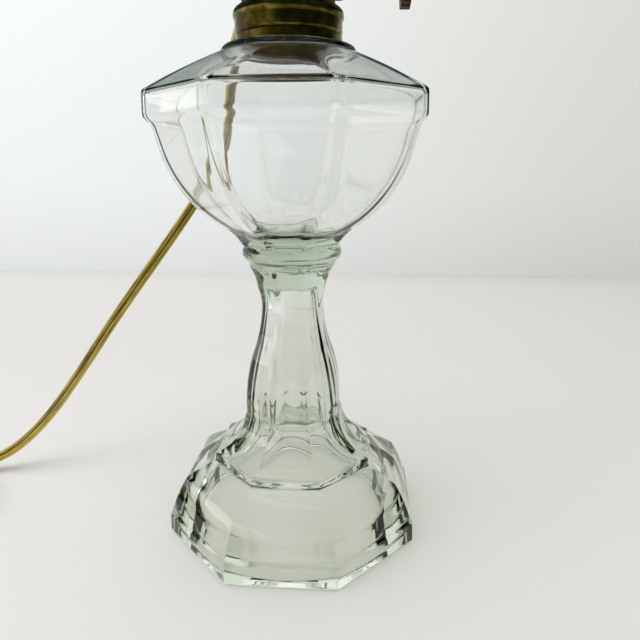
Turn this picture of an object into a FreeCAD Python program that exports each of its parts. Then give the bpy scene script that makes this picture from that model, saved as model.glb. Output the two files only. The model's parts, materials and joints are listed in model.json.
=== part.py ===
"""An electrified oil lamp: a pressed-glass stand lamp whose burner holds an electric socket.

Millimetres, +Z up. The origin is the centre of the foot's underside, on the lamp's axis.
The glass is eight-sided, with flat panels facing +X, -X, +Y and -Y and four between them.
"""

import FreeCAD, Part
import math
import os

import Sketcher

Vector = FreeCAD.Vector
Rotation = FreeCAD.Rotation
Placement = FreeCAD.Placement

PARTS = "parts"
os.makedirs(PARTS, exist_ok=True)
doc = FreeCAD.newDocument("lamp")

# Driving sizes, each set by itself
SIZES = {
    # foot of the pedestal
    "foot_across": 103.5,
    "band_across": 102.7,
    "band_height": 8.8,
    "ledge_width": 0.75,
    "ledge_height": 0.8,
    "dome_height": 21.5,
    "step_across": 65.0,
    "step_height": 3.5,
    "flare_height": 15.6,
    "flare_across": 40.4,
    "lip_height": 0.5,
    "foot_wall": 7.55,
    "band_wall": 7.95,
    "dome_wall": 4.5,
    "crown_wall": 3.3,
    "throat_wall": 5.2,
    "throat_drop": 0.9,
    # stem of the pedestal
    "stem_foot_across": 39.2,
    "stem_height": 63.9,
    "waist_across": 24.7,
    "stem_head_across": 33.0,
    "stem_wall": 5.4,
    "waist_wall": 4.25,
    "ceiling_radius": 7.0,
    "stem_ceiling": 8.0,
    # ring of glass between the stem and the font
    "cap_radius": 17.4,
    "cap_height": 1.6,
    "wafer_radius": 19.8,
    "wafer_top_radius": 18.9,
    "wafer_height": 6.2,
    # font
    "font_foot_across": 37.0,
    "bowl_height": 44.2,
    "bowl_across": 94.6,
    "font_step_height": 2.5,
    "font_band_across": 99.0,
    "font_band_height": 8.7,
    "rim_across": 98.4,
    "shoulder_height": 13.2,
    "shoulder_across": 51.8,
    "bead_radius": 24.9,
    "bead_height": 2.7,
    "neck_radius": 17.4,
    "neck_height": 4.7,
    "neck_bore": 13.6,
    "font_wall": 2.4,
    "font_floor": 5.4,
    "font_floor_radius": 17.5,
    # collar
    "collar_radius": 19.4,
    "collar_height": 12.5,
    "collar_sheet": 0.7,
    "collar_roll": 4.0,
    "collar_inset": 1.0,
    "collar_roof": 1.2,
    "collar_groove": 0.35,
    "groove_width": 1.3,
    "thread_radius": 15.9,
    "thread_depth": 7.0,
    "groove_level": 3.9,
    # burner
    "burner_sheet": 0.7,
    "burner_thread": 6.5,
    "flange_radius": 17.4,
    "flange_height": 0.8,
    "drum_radius": 16.7,
    "drum_height": 19.8,
    "waist_height": 0.7,
    "drum_edge": 1.0,
    # cord's bushing
    "bushing_level": 6.6,
    "bushing_bore": 2.7,
    "bushing_barrel": 4.25,
    "bushing_flange": 5.0,
    "bushing_flange_thickness": 1.45,
    "bushing_nose": 3.0,
    "bushing_nose_radius": 3.6,
    "bushing_inside": 2.0,
    "bushing_azimuth": 124.5,
    # rotary switch
    "switch_level": 9.1,
    "switch_radius": 7.5,
    "switch_length": 10.6,
    "switch_start": 2.6,
    "switch_wall": 1.5,
    "switch_boss": 4.1,
    "switch_boss_length": 7.3,
    "switch_nut_radius": 6.5,
    "switch_nut_thickness": 2.4,
    "shaft_radius": 2.0,
    "shaft_length": 34.5,
    "shaft_start": 5.2,
    "cam_radius": 5.2,
    "cam_start": 6.4,
    "cam_thickness": 3.0,
    "leaf_thickness": 0.5,
    "leaf_width": 2.0,
    "leaf_length": 4.5,
    "leaf_clearance": 0.15,
    "terminal_radius": 1.8,
    "terminal_height": 1.4,
    "terminal_offset": 3.8,
    # turn knob
    "knob_radius": 9.4,
    "knob_rim": 2.2,
    "knob_thickness": 3.4,
    "knob_dish": 0.8,
    "knob_hub_radius": 3.6,
    "knob_hub_length": 6.5,
    "knob_scallop": 0.8,
    "scallop_count": 20,
    # basket and gallery
    "hub_radius": 11.0,
    "basket_height": 14.0,
    "basket_inset": 1.1,
    "basket_edge": 0.9,
    "slot_length": 9.0,
    "slot_width": 3.2,
    "slot_radius": 24.0,
    "slot_count": 18,
    "gallery_sheet": 0.7,
    "gallery_margin": 2.2,
    "gallery_lip": 1.8,
    "gallery_step": 0.3,
    "seat_width": 7.2,
    "prong_height": 22.0,
    "prong_width": 9.0,
    "prong_radius": 38.6,
    "prong_sheet": 0.6,
    "prong_lean": 0.9,
    "prong_flare": 1.8,
    "prong_count": 4,
    # nipple and lock nuts
    "nipple_radius": 4.85,
    "nipple_bore": 3.5,
    "nipple_below": 2.7,
    "nipple_above": 8.0,
    "nut_corner_radius": 8.0,
    "nut_thickness": 2.4,
    # socket
    "socket_sheet": 0.6,
    "cap_hub_radius": 6.6,
    "cap_hub_height": 3.5,
    "cap_bell_height": 8.5,
    "cap_skirt": 6.5,
    "socket_radius": 16.25,
    "socket_height": 30.0,
    "socket_roll": 0.7,
    "liner_sheet": 0.45,
    "insulator_height": 10.0,
    "rivet_radius": 2.0,
    "screw_shell_radius": 13.75,
    "screw_shell_sheet": 0.4,
    "screw_shell_height": 17.5,
    "screw_shell_bore": 6.5,
    "contact_radius": 4.2,
    "contact_tip_radius": 2.5,
    "contact_height": 3.8,
    "contact_sheet": 0.8,
    "screw_radius": 2.6,
    "screw_height": 1.6,
    "screw_offset": 11.5,
    # bulb
    "tip_radius": 4.5,
    "tip_height": 1.0,
    "tip_margin": 1.0,
    "bulb_insulator_height": 3.0,
    "bulb_insulator_radius": 11.0,
    "bulb_cap_radius": 13.1,
    "bulb_cap_sheet": 0.5,
    "bulb_cap_height": 22.5,
    "bulb_cap_chamfer": 1.5,
    "bulb_neck_radius": 11.8,
    "bulb_radius": 17.5,
    "bulb_height": 32.0,
    "bulb_tail": 8.0,
    "bulb_glass": 0.8,
    "crown_flat": 0.8,
    "mount_radius": 3.0,
    "mount_height": 15.5,
    "support_radius": 0.35,
    "support_foot": 1.2,
    "support_spread": 7.0,
    "support_rise": 11.0,
    "filament_radius": 0.25,
    "filament_sag": 2.6,
    # cord and plug
    "cord_diameter": 5.2,
    "coil_pitch": 5.7,
    "coil_radius": 39.0,
    "tie_thickness": 0.8,
    "tie_width": 6.0,
    "tie_corner": 2.0,
    "lead_diameter": 2.0,
    "plug_length": 30.0,
    "plug_width": 23.0,
    "plug_neck_width": 9.0,
    "plug_thickness": 12.0,
    "plug_shoulder": 13.0,
    "plug_round": 2.0,
    "blade_length": 17.5,
    "blade_width": 6.35,
    "blade_thickness": 1.5,
    "blade_spacing": 12.7,
    # clearances
    "thread_clearance": 0.05,
    "running_clearance": 0.05,
    "seat_clearance": 0.1,
    "bulb_clearance": 0.2,
    "prong_clearance": 0.4,
    "tie_clearance": 0.25,
    "filament_clearance": 0.1,
    "hole_clearance": 0.1,
    "overrun": 1.0,
}

# Levels and half widths that follow from the driving sizes
DERIVED = {
    "foot_half": "foot_across / 2",
    "band_half": "band_across / 2",
    "step_half": "step_across / 2",
    "flare_half": "flare_across / 2",
    "stem_foot_half": "stem_foot_across / 2",
    "waist_half": "waist_across / 2",
    "stem_head_half": "stem_head_across / 2",
    "font_foot_half": "font_foot_across / 2",
    "bowl_half": "bowl_across / 2",
    "font_band_half": "font_band_across / 2",
    "rim_half": "rim_across / 2",
    "shoulder_half": "shoulder_across / 2",
    "step_foot_z": "band_height + dome_height",
    "step_top_z": "step_foot_z + step_height",
    "flare_top_z": "step_top_z + flare_height",
    "stem_foot_z": "flare_top_z + lip_height",
    "stem_head_z": "stem_foot_z + stem_height",
    "ceiling_z": "stem_head_z - stem_ceiling",
    "cap_top_z": "stem_head_z + cap_height",
    "font_foot_z": "cap_top_z + wafer_height",
    "bowl_top_z": "font_foot_z + bowl_height",
    "font_band_z": "bowl_top_z + font_step_height",
    "rim_z": "font_band_z + font_band_height",
    "shoulder_z": "rim_z + shoulder_height",
    "bead_top_z": "shoulder_z + bead_height",
    "neck_top_z": "bead_top_z + neck_height",
    "floor_z": "font_foot_z + font_floor",
    "collar_top_z": "bead_top_z + collar_height",
    "collar_inside": "collar_radius - collar_sheet",
    "sleeve_outside": "thread_radius + collar_sheet",
    "male_radius": "thread_radius - thread_clearance",
    "flange_top_z": "collar_top_z + flange_height",
    "drum_foot_z": "flange_top_z + waist_height",
    "roof_z": "drum_foot_z + drum_height",
    "ceiling_of_drum_z": "roof_z - burner_sheet",
    "drum_inside": "drum_radius - burner_sheet",
    "bushing_z": "collar_top_z + bushing_level",
    "switch_z": "collar_top_z + switch_level",
    "hub_top_z": "roof_z + gallery_sheet",
    "gallery_z": "roof_z + basket_height",
    "seat_z": "gallery_z + gallery_sheet",
    "seat_radius": "prong_radius - prong_clearance",
    "gallery_bore": "seat_radius - seat_width",
    "gallery_radius": "prong_radius + gallery_margin",
    "basket_radius": "prong_radius - basket_inset",
    "nut_top_z": "hub_top_z + nut_thickness",
    "cap_foot_z": "nut_top_z + seat_clearance",
    "bell_foot_z": "cap_foot_z + cap_hub_height",
    "bell_top_z": "bell_foot_z + cap_bell_height",
    "cap_outside": "socket_radius + seat_clearance + socket_sheet",
    "shell_foot_z": "bell_top_z + socket_roll",
    "shell_top_z": "shell_foot_z + socket_height",
    "socket_inside": "socket_radius - socket_sheet",
    "insulator_z": "shell_foot_z + socket_roll",
    "insulator_top_z": "insulator_z + insulator_height",
    "contact_top_z": "insulator_top_z + contact_height",
    "tip_z": "contact_top_z + bulb_clearance",
    "insulator_of_bulb_z": "tip_z + tip_height",
    "bulb_cap_z": "insulator_of_bulb_z + bulb_insulator_height",
    "bulb_cap_top_z": "bulb_cap_z + bulb_cap_height",
    "bulb_top_z": "bulb_cap_top_z + bulb_height",
    "bulb_tail_z": "bulb_cap_top_z - bulb_tail",
    "mount_top_z": "bulb_tail_z + mount_height",
    "exit_radius": "drum_radius + running_clearance + bushing_flange_thickness + bushing_nose",
    "switch_end": "switch_start + switch_length",
    "boss_end": "switch_end + switch_boss_length",
    "shaft_end": "shaft_start + shaft_length",
    "cap_inside": "socket_radius + seat_clearance",
    "cap_rim_z": "bell_top_z + cap_skirt",
    "liner_outside": "socket_inside - running_clearance",
    "insulator_radius": "liner_outside - liner_sheet - seat_clearance",
    "bulb_cap_inside": "bulb_cap_radius - bulb_cap_sheet",
    "bulb_tail_radius": "bulb_cap_inside - seat_clearance",
    "bulb_wide_z": "bulb_top_z - bulb_radius",
    "coil_low_z": "tie_thickness + cord_diameter / 2 + seat_clearance",
    "coil_high_z": "coil_low_z + coil_pitch",
}

sheet = doc.addObject("Spreadsheet::Sheet", "sizes")
for row, (name, value) in enumerate(SIZES.items(), start=1):
    sheet.set(f"A{row}", name)
    sheet.set(f"B{row}", str(value))
    sheet.setAlias(f"B{row}", name)
for row, (name, formula) in enumerate(DERIVED.items(), start=1):
    sheet.set(f"D{row}", name)
    sheet.set(f"E{row}", f"={formula}")
    sheet.setAlias(f"E{row}", name)
doc.recompute()

NODES = []


def bound(formula):
    """A formula in sheet names, as an expression of the document."""
    words, out = "", ""
    for letter in formula + " ":
        if letter.isalnum() or letter == "_":
            words += letter
            continue
        out += f"sizes.{words}" if words in SIZES or words in DERIVED else words
        out += letter
        words = ""
    return out.strip()


def size(formula):
    """The value of a formula in sheet names."""
    return float(sheet.evalExpression(bound(formula)))


def mix(low, high, share):
    """A formula for the place at a share of the way from one size to another."""
    return f"({low}) + (({high}) - ({low})) * {share}"


def node(item, name):
    """Registers an object as a sub-part under its own name."""
    item.Label = name
    NODES.append(item)
    return item


# Outlines


def outline_points(outline):
    """Corners, and the middle of each arc, of an outline of (x, y) or (x, y, bow) entries.

    A bow says where the entry's arc passes: two shares of the entry's own span, or two formulas.
    """
    corners = [(size(entry[0]), size(entry[1])) for entry in outline]
    middles = []
    for index, entry in enumerate(outline):
        if len(entry) == 2:
            middles.append(None)
            continue
        before = outline[index - 1]
        across, up = entry[2]
        if isinstance(across, str):
            middles.append((across, up))
        else:
            middles.append((mix(before[0], entry[0], across), mix(before[1], entry[1], up)))
    return corners, middles


def pin(sketch, geometry, end, x, y, constraints, bindings):
    """Fixes one sketch point at formulas for x and y."""
    for kind, axis, formula in (("DistanceX", -2, x), ("DistanceY", -1, y)):
        value = size(formula)
        if abs(value) < 1e-9:
            constraints.append(Sketcher.Constraint("PointOnObject", geometry, end, axis))
            continue
        constraints.append(Sketcher.Constraint(kind, -1, 1, geometry, end, value))
        bindings.append((len(constraints) - 1, bound(formula)))


def draw(sketch, outline):
    """Draws a closed outline whose every corner and arc is bound to the sheet."""
    corners, middles = outline_points(outline)
    first = len(sketch.Geometry)
    count = len(outline)
    starts = []
    for index in range(count):
        start, end = corners[index - 1], corners[index]
        a, b = Vector(*start, 0), Vector(*end, 0)
        if middles[index] is None:
            sketch.addGeometry(Part.LineSegment(a, b), False)
            starts.append((1, 2))
            continue
        middle = Vector(size(middles[index][0]), size(middles[index][1]), 0)
        forwards = (middle - a).cross(b - middle).z > 0
        sketch.addGeometry(Part.Arc(a, middle, b) if forwards else Part.Arc(b, middle, a), False)
        starts.append((1, 2) if forwards else (2, 1))
    for index in range(count):
        if middles[index] is not None:
            sketch.addGeometry(
                Part.Point(Vector(size(middles[index][0]), size(middles[index][1]), 0)), True
            )
    constraints = []
    bindings = []
    extra = first + count
    for index in range(count):
        after = (index + 1) % count
        here, there = first + index, first + after
        constraints.append(
            Sketcher.Constraint("Coincident", here, starts[index][1], there, starts[after][0])
        )
        pin(sketch, here, starts[index][1], outline[index][0], outline[index][1], constraints, bindings)
        if middles[index] is not None:
            constraints.append(Sketcher.Constraint("PointOnObject", extra, 1, here))
            pin(sketch, extra, 1, middles[index][0], middles[index][1], constraints, bindings)
            extra += 1
    offset = len(sketch.Constraints)
    sketch.addConstraint(constraints)
    for index, formula in bindings:
        sketch.setExpression(f"Constraints[{offset + index}]", formula)


def mirrored(outline):
    """A half outline that starts and ends on the axis, with its mirror image added."""
    whole = list(outline)
    for index in range(len(outline) - 2, 0, -1):
        entry, after = outline[index], outline[index + 1]
        left = (f"-({entry[0]})", entry[1])
        if len(after) == 3:
            across_share, up_share = after[2]
            left += ((1 - across_share, 1 - up_share),)
        whole.append(left)
    return whole


# Kinds of solid


def plane_of(body, role):
    """One of a body's own origin planes."""
    return next(item for item in body.Origin.OriginFeatures if item.Role == role)


def sketch_on(body, role, name):
    """A sketch on one of a body's own origin planes."""
    sketch = body.newObject("Sketcher::SketchObject", name)
    sketch.AttachmentSupport = [(plane_of(body, role), "")]
    sketch.MapMode = "FlatFace"
    return sketch


def turned(name, outline):
    """A body turned about its own Z axis from an outline of radius and height."""
    body = doc.addObject("PartDesign::Body", name)
    sketch = sketch_on(body, "XZ_Plane", f"{name}_outline")
    draw(sketch, outline)
    turn = body.newObject("PartDesign::Revolution", f"{name}_turn")
    turn.Profile = sketch
    turn.ReferenceAxis = (sketch, ["V_Axis"])
    turn.Angle = 360
    body.Tip = turn
    return body


def eight_sided(name, outline):
    """An eight-sided solid: four slabs of one outline, an eighth of a turn apart, kept where they meet."""
    slabs = []
    whole = mirrored(outline)
    for quarter in range(4):
        sketch = doc.addObject("Sketcher::SketchObject", f"{name}_outline")
        sketch.Placement = Placement(Vector(), Rotation(Vector(0, 1, 0), 45 * quarter))
        draw(sketch, whole)
        slab = doc.addObject("Part::Extrusion", f"{name}_slab")
        slab.Base = sketch
        slab.DirMode = "Normal"
        slab.Symmetric = True
        slab.Solid = True
        slab.setExpression("LengthFwd", bound("foot_across + rim_across"))
        slabs.append(slab)
    common = doc.addObject("Part::MultiCommon", name)
    common.Shapes = slabs
    common.Placement = Placement(Vector(), Rotation(Vector(1, 0, 0), 90))
    return common


def rod(name, radius, length, place=Placement()):
    """A plain cylinder bound to the sheet."""
    cylinder = doc.addObject("Part::Cylinder", name)
    cylinder.setExpression("Radius", bound(radius))
    cylinder.setExpression("Height", bound(length))
    cylinder.Placement = place
    return cylinder


def upright(name, radius, height, foot, x="0", y="0"):
    """An upright rod at a place given by formulas."""
    item = rod(name, radius, height)
    item.setExpression("Placement.Base.x", bound(x))
    item.setExpression("Placement.Base.y", bound(y))
    item.setExpression("Placement.Base.z", bound(foot))
    return item


def prism(name, sides, radius, height, foot):
    """An upright prism on the lamp's or a piece's own axis."""
    item = doc.addObject("Part::Prism", name)
    item.Polygon = sides
    item.setExpression("Circumradius", bound(radius))
    item.setExpression("Height", bound(height))
    item.setExpression("Placement.Base.z", bound(foot))
    return item


def cut(name, base, tool):
    """One solid less another."""
    result = doc.addObject("Part::Cut", name)
    result.Base = base
    result.Tool = tool
    return result


def fused(name, shapes):
    """Several solids made one."""
    result = doc.addObject("Part::MultiFuse", name)
    result.Shapes = shapes
    return result


def group(name, shapes):
    """Separate solids kept together in one node."""
    result = doc.addObject("Part::Compound", name)
    result.Links = shapes
    return result


# Paths for cords and leads


def rounded_path(points, report=None):
    """Straight runs joined by tangent arcs, each as large as its two runs allow."""
    take_share = 0.45
    edges, here, radii = [], points[0], []
    for before, corner, after in zip(points, points[1:], points[2:]):
        incoming, outgoing = corner - before, after - corner
        shorter = min(incoming.Length, outgoing.Length)
        half = incoming.getAngle(outgoing) / 2
        reach = take_share * shorter
        radius = reach / math.tan(half)
        radii.append(radius)
        a = corner - incoming.normalize() * reach
        b = corner + outgoing.normalize() * reach
        inward = ((a + b) / 2 - corner).normalize()
        middle = corner + inward * (radius / math.cos(half) - radius)
        edges.append(Part.LineSegment(here, a).toShape())
        edges.append(Part.Arc(a, middle, b).toShape())
        here = b
    edges.append(Part.LineSegment(here, points[-1]).toShape())
    if report:
        print(report, "least radii:", ", ".join(f"{radius:.1f}" for radius in radii))
    return Part.Wire(edges)


def arc_from(start, tangent, end):
    """The arc that leaves start along tangent and reaches end."""
    chord = end - start
    slant = chord.getAngle(tangent)
    if slant < 1e-6:
        return Part.LineSegment(start, end).toShape()
    across = (tangent - chord * (tangent.dot(chord) / chord.dot(chord))).normalize()
    middle = (start + end) / 2 + across * (chord.Length / 2 * math.tan(slant / 2))
    return Part.Arc(start, middle, end).toShape()


def biarc(start, start_tangent, end, end_tangent):
    """Two arcs, tangent where they meet, between two points with given directions."""
    span = end - start
    tangents = start_tangent + end_tangent
    spread = 2 * (1 - start_tangent.dot(end_tangent))
    along = span.dot(tangents)
    if spread < 1e-9:
        reach = span.dot(span) / (4 * span.dot(end_tangent))
    else:
        reach = (math.sqrt(along * along + spread * span.dot(span)) - along) / spread
    joint = ((start + start_tangent * reach) + (end - end_tangent * reach)) / 2
    turn = (joint - start - start_tangent * reach).normalize()
    return [arc_from(start, start_tangent, joint), arc_from(joint, turn, end)]


def swept(name, path, diameter):
    """A round tube along a path."""
    spine = doc.addObject("Part::Feature", f"{name}_path")
    spine.Shape = path
    start = path.Edges[0].valueAt(path.Edges[0].FirstParameter)
    along = path.Edges[0].tangentAt(path.Edges[0].FirstParameter)
    ring = doc.addObject("Part::Circle", f"{name}_ring")
    ring.setExpression("Radius", bound(f"{diameter} / 2"))
    ring.Placement = Placement(start, Rotation(Vector(0, 0, 1), along))
    tube = doc.addObject("Part::Sweep", name)
    tube.Sections = [ring]
    tube.Spine = (spine, [f"Edge{index + 1}" for index in range(len(path.Edges))])
    tube.Solid = True
    tube.Frenet = False
    return tube


# Pedestal: pressed glass, solid above its ceiling and hollow from below

dome_break_share = (0.38, 0.7265)
stem_break_share = (0.413, 0.408)
waist_share = 0.745
bow_shares = {
    "dome_side": (0.36, 0.454),
    "dome_top": (0.39, 0.48),
    "flare": (0.64, 0.31),
    "stem_swell": (0.1, 0.464),
    "stem_taper": (0.7, 0.474),
    "stem_head": (0.23, 0.4),
    "wafer_low": (0.8, 0.4),
    "wafer_high": (0.2, 0.6),
    "hollow_side": (0.38, 0.68),
    "hollow_throat": (0.68, 0.38),
    "hollow_stem": (0.4, 0.55),
    "hollow_waist": (0.58, 0.5),
    "font_ogee": (0.414, 0.571),
    "font_bowl": (0.583, 0.387),
    "font_shoulder": (0.48, 0.523),
    "font_bead": (0.25, 0.74),
    "cavity_bowl": (0.69, 0.497),
    "cavity_shoulder": (0.49, 0.54),
    "collar_roll": (-0.5, 0.5),
    "burner_waist": (0.75, 0.25),
    "drum_edge": (0.3, 0.7),
    "basket": (0.545, 0.25),
    "prong_low": (0.75, 0.5),
    "prong_high": (0.25, 0.5),
    "cap_bell": (0.78, 0.35),
    "bulb_flank": (0.6, 0.5),
    "bulb_crown": (0.293, 0.707),
    "mount": (0.75, 0.35),
}


def back(name):
    """The bow of a named arc that is drawn from its far end."""
    across_share, up_share = bow_shares[name]
    return (1 - across_share, 1 - up_share)


dome_break_half = mix("band_half", "step_half", dome_break_share[0])
dome_break_z = mix("band_height", "step_foot_z", dome_break_share[1])
stem_break_half = mix("stem_foot_half", "waist_half", stem_break_share[0])
stem_break_z = mix("stem_foot_z", "stem_head_z", stem_break_share[1])
waist_z = mix("stem_foot_z", "stem_head_z", waist_share)

pedestal_panels = eight_sided("pedestal_panels", [
    ("0", "0"),
    ("foot_half", "0"),
    ("band_half", "band_height"),
    ("band_half - ledge_width", "band_height + ledge_height"),
    (dome_break_half, dome_break_z, bow_shares["dome_side"]),
    ("step_half", "step_foot_z", bow_shares["dome_top"]),
    ("step_half", "step_top_z"),
    ("flare_half", "flare_top_z", bow_shares["flare"]),
    ("stem_foot_half", "stem_foot_z"),
    (stem_break_half, stem_break_z, bow_shares["stem_swell"]),
    ("waist_half", waist_z, bow_shares["stem_taper"]),
    ("stem_head_half", "stem_head_z", bow_shares["stem_head"]),
    ("0", "stem_head_z"),
])
pedestal_cap = rod("pedestal_cap", "cap_radius", "cap_height + cap_height")
pedestal_cap.setExpression("Placement.Base.z", bound("stem_head_z - cap_height"))

hollow_side_share = 0.242
hollow_side_z = mix("band_height", "step_foot_z", hollow_side_share)
pedestal_hollow = turned("pedestal_hollow", [
    ("0", "-overrun"),
    ("foot_half - foot_wall", "-overrun"),
    ("band_half - band_wall", hollow_side_z),
    ("step_half - dome_wall", "step_foot_z - crown_wall", bow_shares["hollow_side"]),
    ("stem_foot_half - throat_wall", "flare_top_z - throat_drop", bow_shares["hollow_throat"]),
    (f"{stem_break_half} - stem_wall", stem_break_z, bow_shares["hollow_stem"]),
    ("waist_half - waist_wall", waist_z, bow_shares["hollow_waist"]),
    ("ceiling_radius", "ceiling_z"),
    ("0", "ceiling_z"),
])
pedestal_solid = fused("pedestal_solid", [pedestal_panels, pedestal_cap])
node(cut("pedestal_glass", pedestal_solid, pedestal_hollow), "pedestal_glass")

# Wafer: the round ring of glass that joins the pedestal to the font
wafer_bulge_share = 0.53
node(turned("glass_wafer", [
    ("0", "cap_top_z"),
    ("cap_radius", "cap_top_z"),
    ("wafer_radius", mix("cap_top_z", "font_foot_z", wafer_bulge_share), bow_shares["wafer_low"]),
    ("wafer_top_radius", "font_foot_z", bow_shares["wafer_high"]),
    ("0", "font_foot_z"),
]), "glass_wafer")

# Font: eight-sided with an even wall, and a round bead and neck for the collar
bowl_low_share = (0.243, 0.174)
bowl_high_share = (0.917, 0.783)
bead_share = 0.3
bowl_low_half = mix("font_foot_half", "bowl_half", bowl_low_share[0])
bowl_low_z = mix("font_foot_z", "bowl_top_z", bowl_low_share[1])
bowl_high_half = mix("font_foot_half", "bowl_half", bowl_high_share[0])
bowl_high_z = mix("font_foot_z", "bowl_top_z", bowl_high_share[1])

font_panels = eight_sided("font_panels", [
    ("0", "font_foot_z"),
    ("font_foot_half", "font_foot_z"),
    (bowl_low_half, bowl_low_z, bow_shares["font_ogee"]),
    (bowl_high_half, bowl_high_z, bow_shares["font_bowl"]),
    ("bowl_half", "bowl_top_z"),
    ("font_band_half", "font_band_z"),
    ("rim_half", "rim_z"),
    ("shoulder_half", "shoulder_z", bow_shares["font_shoulder"]),
    ("0", "shoulder_z"),
])
font_neck = turned("font_neck", [
    ("0", "shoulder_z - bead_height"),
    ("bead_radius", "shoulder_z - bead_height"),
    ("bead_radius", mix("shoulder_z", "bead_top_z", bead_share)),
    ("bead_radius - bead_height", "bead_top_z", bow_shares["font_bead"]),
    ("neck_radius", "bead_top_z"),
    ("neck_radius", "neck_top_z"),
    ("0", "neck_top_z"),
])
cavity_panels_outline = [
    ("0", "floor_z"),
    ("font_floor_radius", "floor_z"),
    (f"{bowl_high_half} - font_wall", bowl_high_z, bow_shares["cavity_bowl"]),
    ("bowl_half - font_wall", "bowl_top_z"),
    ("font_band_half - font_wall", "font_band_z"),
    ("rim_half - font_wall", "rim_z - font_wall / 2"),
    ("neck_bore + font_wall * 2", "shoulder_z - font_wall", bow_shares["cavity_shoulder"]),
    ("0", "shoulder_z - font_wall"),
]
cavity_round_share = 1.055
cavity_panels = eight_sided("cavity_panels", cavity_panels_outline)
cavity_round = turned("cavity_round", [
    (f"({entry[0]}) * {cavity_round_share}", *entry[1:]) for entry in cavity_panels_outline
])
font_cavity = doc.addObject("Part::MultiCommon", "font_cavity")
font_cavity.Shapes = [cavity_panels, cavity_round]
font_bore = upright("font_bore", "neck_bore", "neck_top_z - rim_z + overrun", "rim_z")
font_solid = fused("font_solid", [font_panels, font_neck])
node(cut("font_glass", font_solid, fused("font_hollow", [font_cavity, font_bore])), "font_glass")

# Collar: rolled brass with a threaded sleeve inside, set on the neck in cement
node(turned("brass_collar", [
    ("collar_inside", "bead_top_z"),
    ("collar_radius", "bead_top_z"),
    ("collar_radius", "bead_top_z + groove_level - groove_width / 2"),
    ("collar_radius - collar_groove", "bead_top_z + groove_level"),
    ("collar_radius", "bead_top_z + groove_level + groove_width / 2"),
    ("collar_radius", "collar_top_z - collar_roll"),
    ("collar_radius - collar_inset", "collar_top_z", bow_shares["collar_roll"]),
    ("thread_radius", "collar_top_z"),
    ("thread_radius", "collar_top_z - thread_depth"),
    ("sleeve_outside", "collar_top_z - thread_depth"),
    ("sleeve_outside", "collar_top_z - collar_roof"),
    ("collar_inside", "collar_top_z - collar_roll"),
]), "brass_collar")
node(turned("collar_cement", [
    ("neck_radius", "bead_top_z"),
    ("collar_inside", "bead_top_z"),
    ("collar_inside", "collar_top_z - collar_roll"),
    ("sleeve_outside", "collar_top_z - collar_roll"),
    ("sleeve_outside", "neck_top_z"),
    ("neck_radius", "neck_top_z"),
]), "collar_cement")


def facing(azimuth, level):
    """A place on the lamp's axis whose own Z axis points outwards at an azimuth in degrees."""
    turn = math.radians(azimuth)
    outwards = Vector(math.cos(turn), math.sin(turn), 0)
    return Placement(Vector(0, 0, size(level)), Rotation(Vector(0, 0, 1), outwards))


CORD_SIDE = facing(size("bushing_azimuth"), "bushing_z")
SWITCH_SIDE = facing(0, "switch_z")

# Burner: a threaded cup with a drum above its flange, pierced for the cord and the switch
burner_cup = turned("burner_cup", [
    ("male_radius - burner_sheet", "collar_top_z - burner_thread"),
    ("male_radius", "collar_top_z - burner_thread"),
    ("male_radius", "collar_top_z"),
    ("flange_radius", "collar_top_z"),
    ("flange_radius", "flange_top_z"),
    ("drum_radius", "drum_foot_z", bow_shares["burner_waist"]),
    ("drum_radius", "roof_z - drum_edge"),
    ("drum_radius - drum_edge", "roof_z", bow_shares["drum_edge"]),
    ("nipple_radius + hole_clearance", "roof_z"),
    ("nipple_radius + hole_clearance", "ceiling_of_drum_z"),
    ("drum_inside", "ceiling_of_drum_z"),
    ("drum_inside", "drum_foot_z"),
    ("male_radius - burner_sheet", "flange_top_z"),
])
cord_hole = rod("cord_hole", "bushing_barrel + hole_clearance", "drum_radius + overrun", CORD_SIDE)
switch_hole = rod("switch_hole", "switch_boss + hole_clearance", "drum_radius + overrun", SWITCH_SIDE)
burner_holes = group("burner_holes", [cord_hole, switch_hole])
node(cut("burner_base", burner_cup, burner_holes), "burner_base")

bushing = node(turned("cord_bushing", [
    ("bushing_bore", "drum_inside - bushing_inside"),
    ("bushing_barrel", "drum_inside - bushing_inside"),
    ("bushing_barrel", "drum_radius + running_clearance"),
    ("bushing_flange", "drum_radius + running_clearance"),
    ("bushing_flange", "drum_radius + bushing_flange_thickness"),
    ("bushing_barrel", "exit_radius - bushing_nose"),
    ("bushing_nose_radius", "exit_radius"),
    ("bushing_bore", "exit_radius"),
]), "cord_bushing")
bushing.Placement = CORD_SIDE

# Rotary switch inside the drum, with its shaft and knob outside


def beside_switch(item, name):
    """Registers a piece that is modelled along the switch's own axis."""
    item.Placement = SWITCH_SIDE
    return node(item, name)


beside_switch(turned("switch_housing", [
    ("0", "switch_start"),
    ("switch_radius", "switch_start"),
    ("switch_radius", "switch_end"),
    ("switch_boss", "switch_end"),
    ("switch_boss", "boss_end"),
    ("shaft_radius + running_clearance", "boss_end"),
    ("shaft_radius + running_clearance", "switch_end - switch_wall"),
    ("switch_radius - switch_wall", "switch_end - switch_wall"),
    ("switch_radius - switch_wall", "switch_start + switch_wall"),
    ("0", "switch_start + switch_wall"),
]), "switch_housing")
beside_switch(turned("switch_shaft", [
    ("0", "shaft_start"),
    ("shaft_radius", "shaft_start"),
    ("shaft_radius", "shaft_end"),
    ("0", "shaft_end"),
]), "switch_shaft")


cam_block = prism("cam_block", 4, "cam_radius", "cam_thickness", "cam_start")
cam_bore = upright("cam_bore", "shaft_radius", "cam_thickness + overrun * 2", "cam_start - overrun")
beside_switch(cut("switch_cam", cam_block, cam_bore), "switch_cam")

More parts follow.
